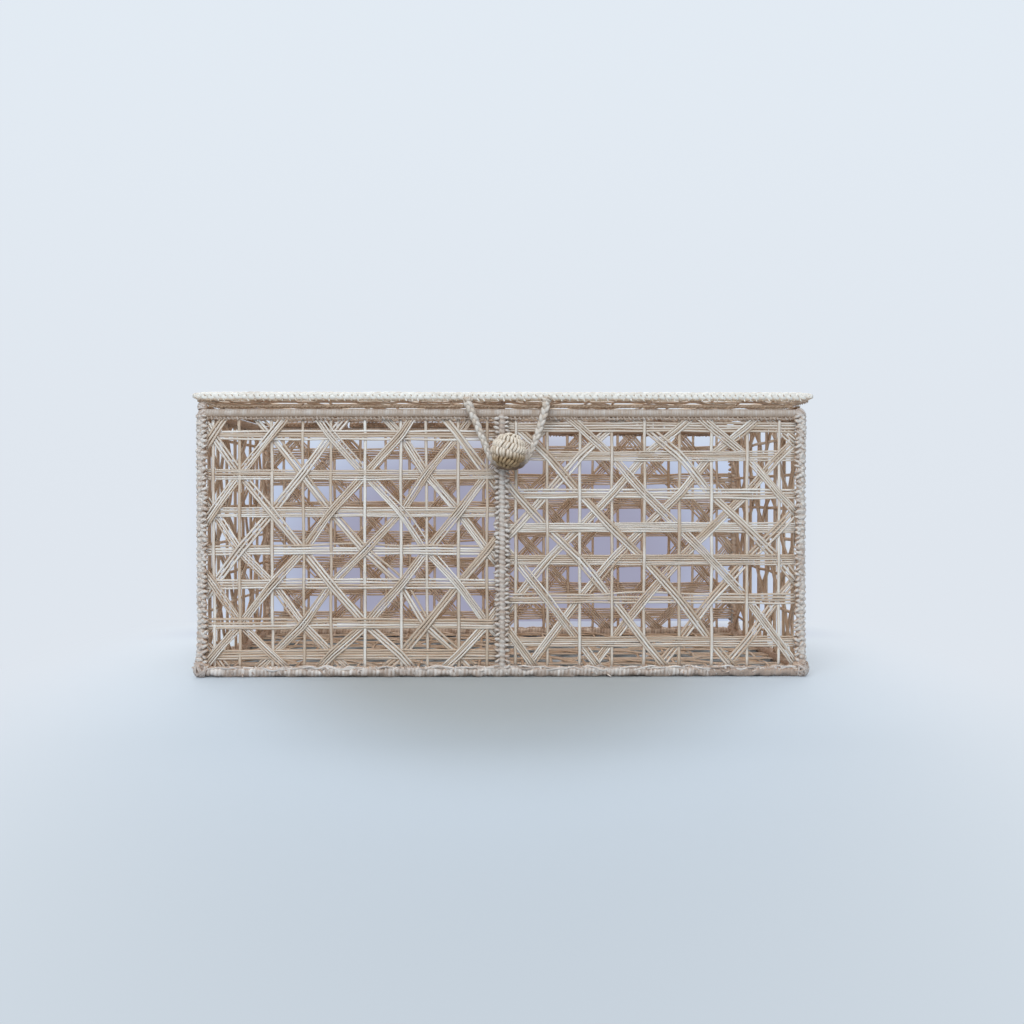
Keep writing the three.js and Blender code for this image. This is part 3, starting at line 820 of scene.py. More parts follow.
# %% Pale sky
SKY_LIGHT_COLOUR = (0.82, 0.88, 0.95, 1)
SKY_LIGHT_STRENGTH = 0.65
world = bpy.data.worlds.new("pale_sky")
scene.world = world
world.use_nodes = True
sky_tree = world.node_tree
sky_light = sky_tree.nodes["Background"]
sky_light.inputs["Color"].default_value = SKY_LIGHT_COLOUR
sky_light.inputs["Strength"].default_value = SKY_LIGHT_STRENGTH
sky_seen = add_node(sky_tree, "ShaderNodeBackground")
sky_seen.inputs["Color"].default_value = SKY_COLOUR
sky_share = seen_rays(sky_tree)[1]
sky_blend = mix_shaders(sky_tree, sky_share, sky_light.outputs[0], sky_seen.outputs[0])
sky_tree.links.new(sky_blend, sky_tree.nodes["World Output"].inputs["Surface"])
scene.view_settings.view_transform = "Standard"
print("sky strength", SKY_LIGHT_STRENGTH)

# %% [markdown]
# ## Woven walls
# Each wall opening holds four families of straw. Level bundles of four or five strands run across.
# Two families of slanting bundles cross them, over one and under the next, and thin single strands
# stand upright. In the left front bay the slanting bundles meet on the level ones, and in the right
# bay they meet between them, so the two bays look different. A strand's route is drawn flat, with its
# height over the wall, and then placed on its own side of the box.

# %% Places on the box
WALL_X = 147.75
WALL_Y = 77.75
BASE_Z = 2.3
LID_Z = 138.0
LID_SHIFT = 0.9


def on_front(point):
    """Place a flat point on the front wall."""
    return Vector((point.x, -WALL_Y - point.z, point.y))


def on_back(point):
    """Place a flat point on the back wall, as seen from behind."""
    return Vector((-point.x, WALL_Y + point.z, point.y))


def on_left(point):
    """Place a flat point on the left wall, as seen from the left."""
    return Vector((-WALL_X - point.z, -point.x, point.y))


def on_right(point):
    """Place a flat point on the right wall, as seen from the right."""
    return Vector((WALL_X + point.z, point.x, point.y))


def on_base(point):
    """Place a flat point on the base, as seen from below."""
    return Vector((point.x, -point.y, BASE_Z - point.z))


def on_lid(point):
    """Place a flat point on the lid, which sits a little to the right."""
    return Vector((point.x + LID_SHIFT, point.y, LID_Z + point.z))


def turned(place):
    """Return a place function for a wall whose bundles run upright instead of level."""
    return lambda point: place(Vector((point.y, point.x, point.z)))


# %% Bundles of strands
STRAND_HALF_HEIGHT = 0.36
STRAND_FILL = (0.39, 0.46)
MOSTLY_PALE = 1.8
FAN_RANGE = (-0.16, 0.2)
STRAY_CHANCE = 0.4
STRAY_RANGE = (1.0, 3.4)
SIDE_ERROR = 0.12
LIFT_ERROR = 0.08
SWAY = 0.3
LOOSENESS = 0.2


def strand_tone():
    """Return how brown a strand is. Most are pale and a few are brown."""
    return dice.random() ** MOSTLY_PALE


def lay_bundle(target, place, line, count, width, half_height=STRAND_HALF_HEIGHT):
    """Lay parallel strands side by side along a flat line. In some bundles the last one strays."""
    pitch = width / count
    last = len(line) - 1
    sides = []
    for index in range(len(line)):
        forward = heading(line, index)
        sides.append(Vector((-forward.y, forward.x, 0)).normalized())
    seed = dice.uniform(0, 100)
    fan = dice.uniform(*FAN_RANGE) if count > 1 else 0.0
    has_stray = count > 2 and dice.random() < STRAY_CHANCE
    stray = dice.uniform(*STRAY_RANGE) if has_stray else 0.0
    for number in range(count):
        offset = (number - (count - 1) / 2) * pitch + dice.uniform(-SIDE_ERROR, SIDE_ERROR)
        lift = Vector((0, 0, dice.uniform(-LIFT_ERROR, LIFT_ERROR)))
        points = []
        across = []
        for index, point in enumerate(line):
            sway = SWAY * wander(index * 0.25, seed + number * 5.1)
            loose = LOOSENESS * wander(index * 0.28, seed + 50)
            spread = 1 + fan * (index / last - 0.5) + loose
            if number == count - 1:
                sway += stray * max(0.0, wander(index * 0.11, seed + 200))
            moved = point + sides[index] * (offset * spread + sway) + lift
            points.append(place(moved))
            across.append(place(moved + sides[index]) - place(moved))
        half = pitch * dice.uniform(*STRAND_FILL)
        sweep(target, points, across, half, half_height, strand_tone())


# %% Flat lines in an opening
STRAND_STEP = 5.0
LEAST_POINTS = 6
LEAST_STEPS = 3


def past_ends(values, index):
    """Return a value of a list, carried on evenly past both of its ends."""
    if index < 0:
        return values[0] + index * (values[1] - values[0])
    if index >= len(values):
        return values[-1] + (index - len(values) + 1) * (values[-1] - values[-2])
    return values[index]


def eased(share):
    """Return a share from 0 to 1 that starts and ends gently."""
    return share * share * (3 - 2 * share)


def cut_line(points, limits):
    """Return the part of a flat line that lies inside left, right, low and high, in even steps."""
    left, right, low, high = limits
    inside = [point for point in points if left <= point.x <= right and low <= point.y <= high]
    if len(inside) < LEAST_POINTS:
        return None
    steps = max(LEAST_STEPS, round(line_length(inside) / STRAND_STEP))
    return even_line(inside, steps)


# %% Slanting family
# On a row the rising bundles lie over the falling ones, so each case has two heights.
FINE = 24
RISING = 1
FALLING = -1
OVER_ROW = {RISING: 1.25, FALLING: 0.65}
UNDER_ROW = {RISING: -0.6, FALLING: -1.2}
BETWEEN_ROWS = 0.72
CROSSING_BUMP = {RISING: -0.35, FALLING: 0.35}


def slant_height(goes_over, direction, on_rows):
    """Return a slanting bundle's height over the wall where it crosses a row."""
    if on_rows:
        return OVER_ROW[direction] if goes_over else UNDER_ROW[direction]
    return BETWEEN_ROWS if goes_over else -BETWEEN_ROWS


def slant_line(rows, columns, direction, number, phase, odd, on_rows):
    """Return the flat line of one slanting bundle, with its height over the wall.

    It goes over a row where the row's number plus phase is odd, if odd is 1, or even, if odd is 0.
    """
    bump = 0.0 if on_rows else CROSSING_BUMP[direction]
    points = []
    for row in range(-2, len(rows) + 1):
        start_height = slant_height((row + phase) % 2 == odd, direction, on_rows)
        end_height = slant_height((row + 1 + phase) % 2 == odd, direction, on_rows)
        start = Vector((past_ends(columns, number - direction * row), past_ends(rows, row), 0))
        end = Vector((past_ends(columns, number - direction * (row + 1)), past_ends(rows, row + 1), 0))
        for part in range(FINE):
            share = part / FINE
            point = start.lerp(end, share)
            rise = (end_height - start_height) * eased(share)
            point.z = start_height + rise + bump * math.sin(math.pi * share)
            points.append(point)
    return points


def slant_lines(rows, columns, on_rows):
    """Return the lines of all slanting bundles, first the falling and then the rising ones."""
    reach = len(rows) + len(columns)
    odd = 0 if on_rows else 1
    lines = []
    for number in range(-reach, reach):
        if number % 2 == 0:
            lines.append(slant_line(rows, columns, FALLING, number, number // 2, odd, on_rows))
    for number in range(reach):
        if number % 2 == odd:
            phase = max(1, number // 2) if on_rows else (number - 1) // 4
            lines.append(slant_line(rows, columns, RISING, number, phase, 1, on_rows))
    return lines


# %% Level family
LEVEL_COUNTS = (4, 4, 5)
LEVEL_WIDTH = 5.3
LEVEL_DRIFT = 0.6
BULKY = 1.2


def strand_count(counts, bulk):
    """Return how many strands a bundle has. A bulky weave has one more."""
    return dice.choice(counts) + (1 if bulk > BULKY else 0)


def level_bundles(target, place, limits, rows, bulk):
    """Lay a bundle along every row, with a slight bow."""
    left, right = limits[:2]
    steps = round((right - left) / STRAND_STEP)
    for height in rows:
        drift = dice.uniform(-LEVEL_DRIFT, LEVEL_DRIFT)
        line = []
        for index in range(steps + 1):
            share = index / steps
            bow = drift * math.sin(math.pi * share)
            line.append(Vector((left + (right - left) * share, height + bow, 0)))
        lay_bundle(target, place, line, strand_count(LEVEL_COUNTS, bulk), LEVEL_WIDTH * bulk)


# %% Upright family
UPRIGHT_WIDTH = 1.9
UPRIGHT_HALF_HEIGHT = 0.24
UPRIGHT_LEAN = 0.8
UPRIGHT_IN_FRONT = 0.62
UPRIGHT_FRONT_CHANCE = 0.8
UPRIGHT_ON_CROSSING = -0.1
UPRIGHT_BETWEEN = 0.55


def upright_height(row, column, on_rows):
    """Return how far an upright strand stands over the wall where it crosses a row."""
    crossing = (row + column) % 2 == 0
    if not on_rows:
        return UPRIGHT_BETWEEN if crossing else -UPRIGHT_BETWEEN
    if crossing:
        return UPRIGHT_ON_CROSSING
    return UPRIGHT_IN_FRONT if dice.random() < UPRIGHT_FRONT_CHANCE else -UPRIGHT_IN_FRONT


def upright_strands(target, place, limits, rows, columns, on_rows):
    """Lay a thin single strand up every column."""
    for column, across in enumerate(columns):
        points = []
        lean = dice.uniform(-UPRIGHT_LEAN, UPRIGHT_LEAN)
        for row in range(-1, len(rows)):
            start = past_ends(rows, row)
            end = past_ends(rows, row + 1)
            start_height = upright_height(row, column, on_rows)
            end_height = upright_height(row + 1, column, on_rows)
            for part in range(FINE):
                share = part / FINE
                x = across + lean * (row + share) / len(rows)
                height = start_height + (end_height - start_height) * eased(share)
                points.append(Vector((x, start + (end - start) * share, height)))
        line = cut_line(points, limits)
        if line:
            lay_bundle(target, place, line, 1, UPRIGHT_WIDTH, UPRIGHT_HALF_HEIGHT)


# %% One whole opening
SLANT_COUNTS = (3, 4, 4)
SLANT_WIDTH = 4.4


def weave(target, place, limits, rows, columns, on_rows, bulk):
    """Weave the four families of straw of one opening. Bulk widens its bundles."""
    level_bundles(target, place, limits, rows, bulk)
    for slanting in slant_lines(rows, columns, on_rows):
        line = cut_line(slanting, limits)
        if line:
            lay_bundle(target, place, line, strand_count(SLANT_COUNTS, bulk), SLANT_WIDTH * bulk)
    upright_strands(target, place, limits, rows, columns, on_rows)


# %% [markdown]
# The rows and columns of the two front bays were read off the photograph, in millimetres from the
# middle of the floor. The other walls are seen too little for that, so theirs are even, with the
# small errors of handwork. Every strand runs on a little under the windings that frame its opening.

# %% Front panels
TUCK = 2.0
LEFT_BAY = (-144.95, -3.5, 5.4, 127.65)
LEFT_BAY_ROWS = [119.5, 100.3, 81.5, 62.5, 45.9, 25.9, 10.9]
LEFT_BAY_COLUMNS = [-142.3, -129.4, -113.6, -98.3, -84.5, -67.7, -49.9, -37.5, -21.7, -7.4]
RIGHT_BAY = (3.5, 144.95, 5.4, 127.65)
RIGHT_BAY_ROWS = [123.5, 109.4, 90.4, 73.6, 57.8, 38.5, 17.3]
RIGHT_BAY_COLUMNS = [6.9, 22.2, 38.5, 54.3, 70.6, 87.9, 103.7, 121.5, 137.3]


def weave_panel(node_name, body, place, limits, rows, columns, on_rows, bulk=1.0, tuck=TUCK):
    """Weave one panel and let it stand for its solid."""
    work = new_work()
    left, right, low, high = limits
    weave(work, place, (left - tuck, right + tuck, low - tuck, high + tuck), rows, columns, on_rows, bulk)
    straw = lid_straw if body == "lid" else panel_straw
    finish_piece(work, node_name + "_straw", straw, "panel_straw", body, node_name)


weave_panel("front_panel_left", "box", on_front, LEFT_BAY, LEFT_BAY_ROWS, LEFT_BAY_COLUMNS, True)
weave_panel("front_panel_right", "box", on_front, RIGHT_BAY, RIGHT_BAY_ROWS, RIGHT_BAY_COLUMNS, False)

# %% Back, side, base and lid panels
PLACE_ERROR = 0.9
BACK_BULK = 1.35
SIDE_BULK = 1.1
SIDE_LIMITS = (5.4, 127.65, -74.95, 74.95)
BASE_LEFT = (-144.65, -3.1, -74.65, 74.65)
BASE_RIGHT = (3.1, 144.65, -74.65, 74.65)
LID_TUCK = 1.7
LID_BULK = 1.1
LID_LEFT = (-147.1, -2.3, -77.1, 77.1)
LID_RIGHT = (2.3, 147.1, -77.1, 77.1)


def even_places(start, end, count):
    """Return evenly spaced places with a small hand-made error."""
    step = (end - start) / count
    return [start + step * (index + 0.5) + dice.uniform(-PLACE_ERROR, PLACE_ERROR) for index in range(count)]


weave_panel(
    "back_panel_right", "box", on_back, LEFT_BAY, even_places(127, 5, 7), even_places(-145, -3, 9),
    on_rows=False, bulk=BACK_BULK,
)
weave_panel(
    "back_panel_left", "box", on_back, RIGHT_BAY, even_places(125, 3, 7), even_places(3, 145, 9),
    on_rows=False, bulk=BACK_BULK,
)
for side_name, side_place in (("left", on_left), ("right", on_right)):
    weave_panel(
        "side_panel_" + side_name, "box", turned(side_place), SIDE_LIMITS,
        even_places(75, -75, 8), even_places(5, 127, 7), on_rows=side_name == "left", bulk=SIDE_BULK,
    )
for side_name, limits in (("left", BASE_LEFT), ("right", BASE_RIGHT)):
    weave_panel(
        "base_panel_" + side_name, "box", on_base, limits,
        even_places(75, -75, 9), even_places(limits[0], limits[1], 9), on_rows=False,
    )
for side_name, limits in (("left", LID_LEFT), ("right", LID_RIGHT)):
    weave_panel(
        "lid_panel_" + side_name, "lid", on_lid, limits,
        even_places(77, -77, 9), even_places(limits[0], limits[1], 9), on_rows=False,
        bulk=LID_BULK, tuck=LID_TUCK,
    )

# %% [markdown]
# ## Windings
# Straw is wound tightly round every wire. Fine even turns cover the rim, and coarser turns with small
# knots at their sides cover the posts, where the strands of the wall are tied on. A winding is one
# long rolled tube whose skin rises and falls once a turn along a slanting line, which is much lighter
# than a separate strand for each turn.

# %% Wound tubes
RIDGE_ROUNDNESS = 0.6
BULK_ALONG = 0.25
BULK_ROUND = 1.2
TURN_TONE = 0.45
# Painted shade: the grooves between turns and the underside of a winding are browner.
GROOVE_SHADE_TONE = 0.75
SHADE_BELOW = 0.3
FIBRE_TWIST = 0.7
FIBRE_STRETCH = 2


def wind(target, start, end, half_across, half_upward, across, pitch, groove, sides=16, rings=4, uneven=0.05,
         floor_cut=None, underside_shade_tone=0.0, shape=None):
    """Wind straw round the line from start to end, in millimetres.

    Its underside is browner by the underside tone, as painted shade, and so are the grooves between
    its turns. Shape, if given, moves a point and returns its added tone.
    """
    length = (end - start).length
    steps = max(8, round(length / pitch * rings))
    tube = rolled_tube(steps, sides)
    tone_note, fibre_note = notes_of(tube)
    forward = (end - start).normalized()
    upward = forward.cross(across)
    turns = round(length / pitch) + 3
    tones = [strand_tone() for _ in range(turns)]
    seed = dice.uniform(0, 300)
    for vert in tube.verts:
        along = vert.co.x * length
        angle = math.atan2(vert.co.z, vert.co.y)
        turn = along / pitch + angle / math.tau + 0.5
        ridge = abs(math.sin(math.pi * turn)) ** RIDGE_ROUNDNESS
        lump = Vector((along * BULK_ALONG, vert.co.y * BULK_ROUND, vert.co.z * BULK_ROUND + seed))
        bulk = 1 + uneven * noise.noise(lump)
        inset = groove * (1 - ridge)
        point = (
            start + forward * along
            + across * (vert.co.y * (half_across * bulk - inset))
            + upward * (vert.co.z * (half_upward * bulk - inset))
        )
        # Painted shade on the underside of the winding.
        added = underside_shade_tone * max(0.0, SHADE_BELOW - vert.co.z) ** 1.5
        if shape:
            moved, more = shape(point)
            point = point + moved
            added += more
        if floor_cut is not None:
            point.z = max(point.z, floor_cut)
        vert[tone_note] = min(1.0, tones[int(turn) % turns] * TURN_TONE + GROOVE_SHADE_TONE * (1 - ridge) + added)
        round_place = half_across * (vert.co.y + FIBRE_TWIST * vert.co.z)
        vert[fibre_note] = Vector((round_place, along * FIBRE_STRETCH, seed))
        vert.co = point * MM
    pour(tube, target)


# %% Loose rows
LOOSE_STEP = 1.5
LOOSE_PACE = 0.16
LOOSE_FLATNESS = 0.75


def loose_row(target, start, end, wobble, half_width, tones, count=2):
    """Lay a few strands that wander loosely round the line from start to end."""
    length = (end - start).length
    forward = (end - start).normalized()
    across = forward.orthogonal().normalized()
    upward = forward.cross(across)
    steps = max(6, round(length / LOOSE_STEP))
    for number in range(count):
        seed = dice.uniform(0, 500)
        points = []
        for index in range(steps + 1):
            along = length * index / steps
            pace = along * LOOSE_PACE
            sway = across * wander(pace, seed) + upward * noise.noise(Vector((pace, 0, seed)))
            points.append(start + forward * along + sway * wobble * 2)
        widths = [1 + 0.5 * noise.noise(Vector((index * 0.4, seed, 9))) for index in range(steps + 1)]
        tone = tones[0] + (tones[1] - tones[0]) * dice.random()
        half_height = half_width * LOOSE_FLATNESS
        sweep(target, points, [upward] * (steps + 1), half_width, half_height, tone, widths=widths)


# %% Stitches and tufts
STITCH_WIDTHS = [0.6, 1.0, 1.1, 1.0, 0.6]
STITCH_LEAN = (0.25, 0.9)
STITCH_LENGTHS = (0.75, 1.2)
STITCH_SPACING = (0.8, 1.25)
STITCH_FLATNESS = 0.8
TUFT_BEND = 0.4
TUFT_WIDTHS = [1.2, 1.1, 1.0, 0.7, 0.3]


def arch(share):
    """Return 0 at -0.5 and 0.5 and a quarter in the middle between them."""
    return 0.25 - share * share


def stitches(target, start, end, pitch, half_length, half_width, tones):
    """Lay short slanting upright stitches in a row from start to end."""
    length = (end - start).length
    forward = (end - start).normalized()
    raised = forward.cross(UP).normalized()
    along = pitch * dice.random()
    while along < length:
        lean = forward * dice.uniform(*STITCH_LEAN)
        reach = half_length * dice.uniform(*STITCH_LENGTHS)
        points = []
        for step in range(5):
            share = step / 4 - 0.5
            lift = raised * (0.5 * arch(share) * 4 * half_width)
            points.append(start + forward * along + (UP + lean) * (2 * share * reach) + lift)
        tone = tones[0] + (tones[1] - tones[0]) * dice.random()
        half_height = half_width * STITCH_FLATNESS
        sweep(target, points, [forward] * 5, half_width, half_height, tone, widths=STITCH_WIDTHS)
        along += pitch * dice.uniform(*STITCH_SPACING)


def tuft(target, place, direction, length, tone):
    """Add one short loose end of straw."""
    bend = Vector([dice.uniform(-TUFT_BEND, TUFT_BEND) for _ in range(3)])
    points = []
    for step in range(5):
        share = step / 4
        points.append(place + direction * (length * share) + bend * share ** 2 * length * 0.5)
    across = [direction.orthogonal()] * 5
    sweep(target, points, across, half_width=0.4, half_height=0.25, tone=tone, widths=TUFT_WIDTHS)


# %% Lines through the wires
HALF_TO_MM = 500
TO_MM = 1000
sides_of_box = {
    "front": (Vector((-1, 0, 0)), Vector((0, -1, 0))),
    "back": (Vector((1, 0, 0)), Vector((0, 1, 0))),
    "left": (Vector((0, -1, 0)), Vector((-1, 0, 0))),
    "right": (Vector((0, 1, 0)), Vector((1, 0, 0))),
}


def middle_and_half(node_name):
    """Return the middle and the half sizes of a node's box, in millimetres."""
    low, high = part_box(node_name)
    return (low + high) * HALF_TO_MM, (high - low) * HALF_TO_MM


def centre_line(node_name, direction, longer=0.0):
    """Return a node's two end points along a direction, in millimetres."""
    middle, half = middle_and_half(node_name)
    reach = abs(half.dot(Vector([abs(part) for part in direction]))) + longer
    return middle - direction * reach, middle + direction * reach


# %% Rim windings
RIM_DROP = Vector((0, 0, -2.5))
BACK_BRAID_SPANS = ((143, 104.5), (95.5, -95.5), (-104.5, -143))
BACK_BRAID_Y = WALL_Y - 0.3
BACK_BRAID_Z = 133.95


def back_rim_braid(work):
    """Lay the brown braid on the back rim, in three spans beside the two hinge ties."""
    for from_x, to_x in BACK_BRAID_SPANS:
        steps = round(abs(to_x - from_x) / 0.7)
        line = []
        for index in range(steps + 1):
            line.append(Vector((from_x + (to_x - from_x) * index / steps, BACK_BRAID_Y, BACK_BRAID_Z)))
        braid(
            work, line, [UP] * len(line), period=7.0, swing=1.0, dip=0.45, half_width=0.95,
            half_height=0.75, tones=(0.5, 0.7, 1.0), sides=6,
        )


for side_name, (direction, outwards) in sides_of_box.items():
    node_name = "rim_wrap_" + side_name
    start, end = centre_line(node_name, direction, longer=2.0)
    half = middle_and_half(node_name)[1]
    work = new_work()
    wind(work, start, end, half.z, half.z, outwards, pitch=1.25, groove=0.26, uneven=0.09, underside_shade_tone=1.35)
    low_shift = RIM_DROP + outwards * 0.9
    loose_row(work, start + low_shift, end + low_shift, wobble=0.35, half_width=0.5, tones=(0.7, 1.0))
    row_shift = RIM_DROP + outwards * 1.6
    stitches(
        work, start + row_shift, end + row_shift, pitch=2.1, half_length=0.75, half_width=0.5,
        tones=(0.3, 1.0),
    )
    if side_name == "back":
        back_rim_braid(work)
    finish_piece(work, node_name + "_straw", wrap_straw, "wrap_straw", "box", node_name)

# %% [markdown]
# The straw round the base ring is rougher than on the rim. Its turns are uneven, and loose rows,
# stitches and short ends lie over them, where the strands of the base and the walls are tied in.

# %% Base windings
BROWN_FROM_X = 103
TUFT_EVERY = 24


def base_shape(point):
    """Let the base ring wander a little, and make its front right part browner."""
    drift = 0.7 * noise.noise(Vector((point.x * 0.05, point.y * 0.05, 4)))
    browner = 1.0 if point.x > BROWN_FROM_X and point.y < 0 else 0.0
    return Vector((0, drift, 0.3 * drift)), browner


def base_tufts(work, start, end, outwards):
    """Add short ends of straw here and there on the base ring."""
    for _ in range(round((end - start).length / TUFT_EVERY)):
        place = start.lerp(end, dice.random()) + outwards * 2.4 + Vector((0, 0, dice.uniform(-1.2, 1.5)))
        way = outwards * dice.uniform(0.1, 0.8)
        way += Vector((dice.uniform(-1, 1), dice.uniform(-1, 1), dice.uniform(-0.3, 0.3)))
        tuft(work, place, way.normalized(), length=dice.uniform(1.5, 3.2), tone=dice.uniform(0, 0.8))


for side_name, (direction, outwards) in sides_of_box.items():
    node_name = "base_wrap_" + side_name
    start, end = centre_line(node_name, direction, longer=1.5)
    half = middle_and_half(node_name)[1]
    work = new_work()
    wind(
        work, start, end, 2.8, half.z, outwards, pitch=1.9, groove=0.5, uneven=0.36, floor_cut=0.0,
        underside_shade_tone=0.5, shape=base_shape,
    )
    tie_shift = Vector((0, 0, 2.0)) + outwards * 1.7
    loose_row(
        work, start + tie_shift, end + tie_shift, wobble=1.0, half_width=0.6, tones=(-0.4, 0.3), count=3
    )
    outer_shift = Vector((0, 0, 0.2)) + outwards * 2.2
    stitches(
        work, start + outer_shift, end + outer_shift, pitch=3.1, half_length=1.5, half_width=0.6,
        tones=(0.1, 1.1),
    )
    upper_shift = Vector((0, 0, 2.0)) + outwards * 2.0
    stitches(
        work, start + upper_shift, end + upper_shift, pitch=3.4, half_length=0.9, half_width=0.6,
        tones=(-0.3, 0.6),
    )
    base_tufts(work, start, end, outwards)
    finish_piece(work, node_name + "_straw", base_straw, "wrap_straw", "box", node_name)

# %% [markdown]
# The posts are wound in coarser turns. Wherever a strand of the wall meets a post it is looped back,
# which leaves a line of small knots down both sides of the post. Each knot is a short fat strand.

# %% Knots down a post
FLARE_HEIGHT = 30
FLARE_REACH = 1.6
POST_KNOT_WIDTHS = [0.55, 0.95, 1.1, 0.95, 0.45]
POST_KNOT_BOW = 1.6


def post_knots(target, start, end, spread, outwards, sideways, signs, pitch=2.4, length=2.6, shape=None):
    """Add lines of small knots up the sides of a post."""
    for sign in signs:
        height = start.z + dice.uniform(0, pitch)
        while height < end.z:
            place = Vector((start.x, start.y, height))
            place = place + sideways * sign * (spread + dice.uniform(-0.35, 0.35)) + outwards * 1.5
            lean = dice.uniform(-0.8, 0.8)
            reach = length * dice.uniform(0.8, 1.4)
            points = []
            for step in range(5):
                share = step / 4 - 0.5
                bow = outwards * (POST_KNOT_BOW * arch(share) * 2)
                point = place + sideways * sign * share * reach + Vector((0, 0, lean * share * 2.4)) + bow
                points.append(point + shape(point)[0] if shape else point)
            half_width = pitch * dice.uniform(0.27, 0.4)
            tone = 0.7 * strand_tone() - 0.25
            sweep(target, points, [UP] * 5, half_width, 0.7, tone, widths=POST_KNOT_WIDTHS)
            height += pitch * dice.uniform(0.85, 1.25)


def post_shape(side_sign):
    """Return how a corner post leans outwards near the floor and wanders on its way up."""
    def shape(point):
        flare = max(0.0, 1 - point.z / FLARE_HEIGHT) ** 2 * FLARE_REACH
        sway = 0.35 * noise.noise(Vector((side_sign * 7, point.y, point.z * 0.06)))
        return Vector((side_sign * flare + sway, 0, 0)), 0.0
    return shape


# %% Post windings
def corner_post(node_name, side_out, outwards, shape):
    """Wind one corner post and tie knots down the two sides that meet the walls."""
    start, end = centre_line(node_name, UP, longer=2.0)
    half = middle_and_half(node_name)[1]
    work = new_work()
    corner_shift = (side_out + outwards) * 0.35
    wind(
        work, start + corner_shift, end + corner_shift, half.x * 0.86, half.y * 0.86, side_out,
        pitch=2.5, groove=0.52, rings=7, uneven=0.3, shape=shape,
    )
    for face, across in ((outwards, side_out), (side_out, outwards)):
        post_knots(work, start, end, 1.5, face, across, (-1,))
        for spread in (-0.5, 0.75):
            post_knots(
                work, start, end, spread, face * 0.95, across, (1,), pitch=2.9, length=1.8, shape=shape
            )
    finish_piece(work, node_name + "_straw", post_straw, "wrap_straw", "box", node_name)


def middle_post(node_name, outwards):
    """Wind one middle post and tie knots down its sides, on the outside and on the inside."""
    start, end = centre_line(node_name, UP, longer=2.0)
    half = middle_and_half(node_name)[1]
    work = new_work()
    wind(work, start, end, 2.1, half.y * 0.92, TO_RIGHT, pitch=2.3, groove=0.5, rings=6, uneven=0.14)
    for face in (outwards, -outwards):
        post_knots(work, start, end, 2.45, face, TO_RIGHT, (-1, 1), pitch=2.3, length=2.2)
    finish_piece(work, node_name + "_straw", post_straw, "wrap_straw", "box", node_name)


for end_name, end_sign in (("front", -1), ("back", 1)):
    outwards = Vector((0, end_sign, 0))
    for side_name, side_sign in (("left", -1), ("right", 1)):
        node_name = "corner_post_wrap_" + end_name + "_" + side_name
        corner_post(node_name, Vector((side_sign, 0, 0)), outwards, post_shape(side_sign))
    middle_post("mid_post_wrap_" + end_name, outwards)

# %% [markdown]
# A rib runs from front to back across the middle of the base and of the lid. The rib of the base
# lies on the floor, so its underside is cut flat there.

# %% Ribs of the base and the lid
for node_name, body, floor_cut in (("base_rib_wrap", "box", 0.0), ("lid_rib_wrap", "lid", None)):
    start, end = centre_line(node_name, TO_BACK, longer=1.5)
    half = middle_and_half(node_name)[1]
    work = new_work()
    wind(work, start, end, half.x, half.z, TO_RIGHT, pitch=1.8, groove=0.3, uneven=0.1, floor_cut=floor_cut)
    finish_piece(work, node_name + "_straw", wrap_straw, "wrap_straw", body, node_name)

# %% [markdown]
# ## Knots
# Where wires meet, the straw is bound over and over into a lump. It is made as it is in life: strands
# go round and round a core, each turn tilted a little from the last.

# %% Bound knots
KNOT_STEPS = 20
KNOT_HALF_HEIGHT = 0.45
KNOT_SHIFT = 0.55


def ball_core(target, middle, half, tone):
    """Add a closed round core."""
    core = new_work()
    tone_note, fibre_note = notes_of(core)
    bmesh.ops.create_icosphere(core, subdivisions=3, radius=1)
    for vert in core.verts:
        vert[tone_note] = tone
        vert[fibre_note] = vert.co * 9
        vert.co = (middle + vert.co * half) * MM
    pour(core, target)


def bound_turns(target, middle, half, turns, spread, main_axis, width=0.85, low=None, browner=0.0):
    """Wind tilted turns of straw round a core. They stay above low, if it is given."""
    for number in range(turns):
        axis = (main_axis + Vector([dice.uniform(-spread, spread) for _ in range(3)])).normalized()
        first = axis.orthogonal().normalized()
        second = axis.cross(first)
        shift = axis * dice.uniform(-KNOT_SHIFT, KNOT_SHIFT)
        points = []
        for step in range(KNOT_STEPS + 1):
            angle = math.tau * step / KNOT_STEPS
            spoke = first * math.cos(angle) + second * math.sin(angle)
            point = middle + (spoke * math.sqrt(1 - shift.length_squared) + shift) * half
            if low is not None:
                point.z = max(point.z, low)
            points.append(point)
        half_width = width * dice.uniform(0.8, 1.15)
        across = [axis] * len(points)
        sweep(target, points, across, half_width, KNOT_HALF_HEIGHT, strand_tone() + browner)


# %% Base and rim knots
BASE_KNOT_HALF = Vector((3.9, 4.0, 4.4))
BASE_KNOT_Z = 4.0
RIM_KNOT_HALF = Vector((2.6, 2.6, 2.6))
RIM_KNOT_Z = 130.0
TALL_KNOT_FROM = 0.135
UPPER_KNOT_Z = 133.4
UPPER_KNOT_HALF = Vector((2.1, 2.1, 2.2))
UPPER_CORE_HALF = Vector((1.9, 1.9, 2.2))
NEARLY_UP = Vector((0.2, 0.3, 1))


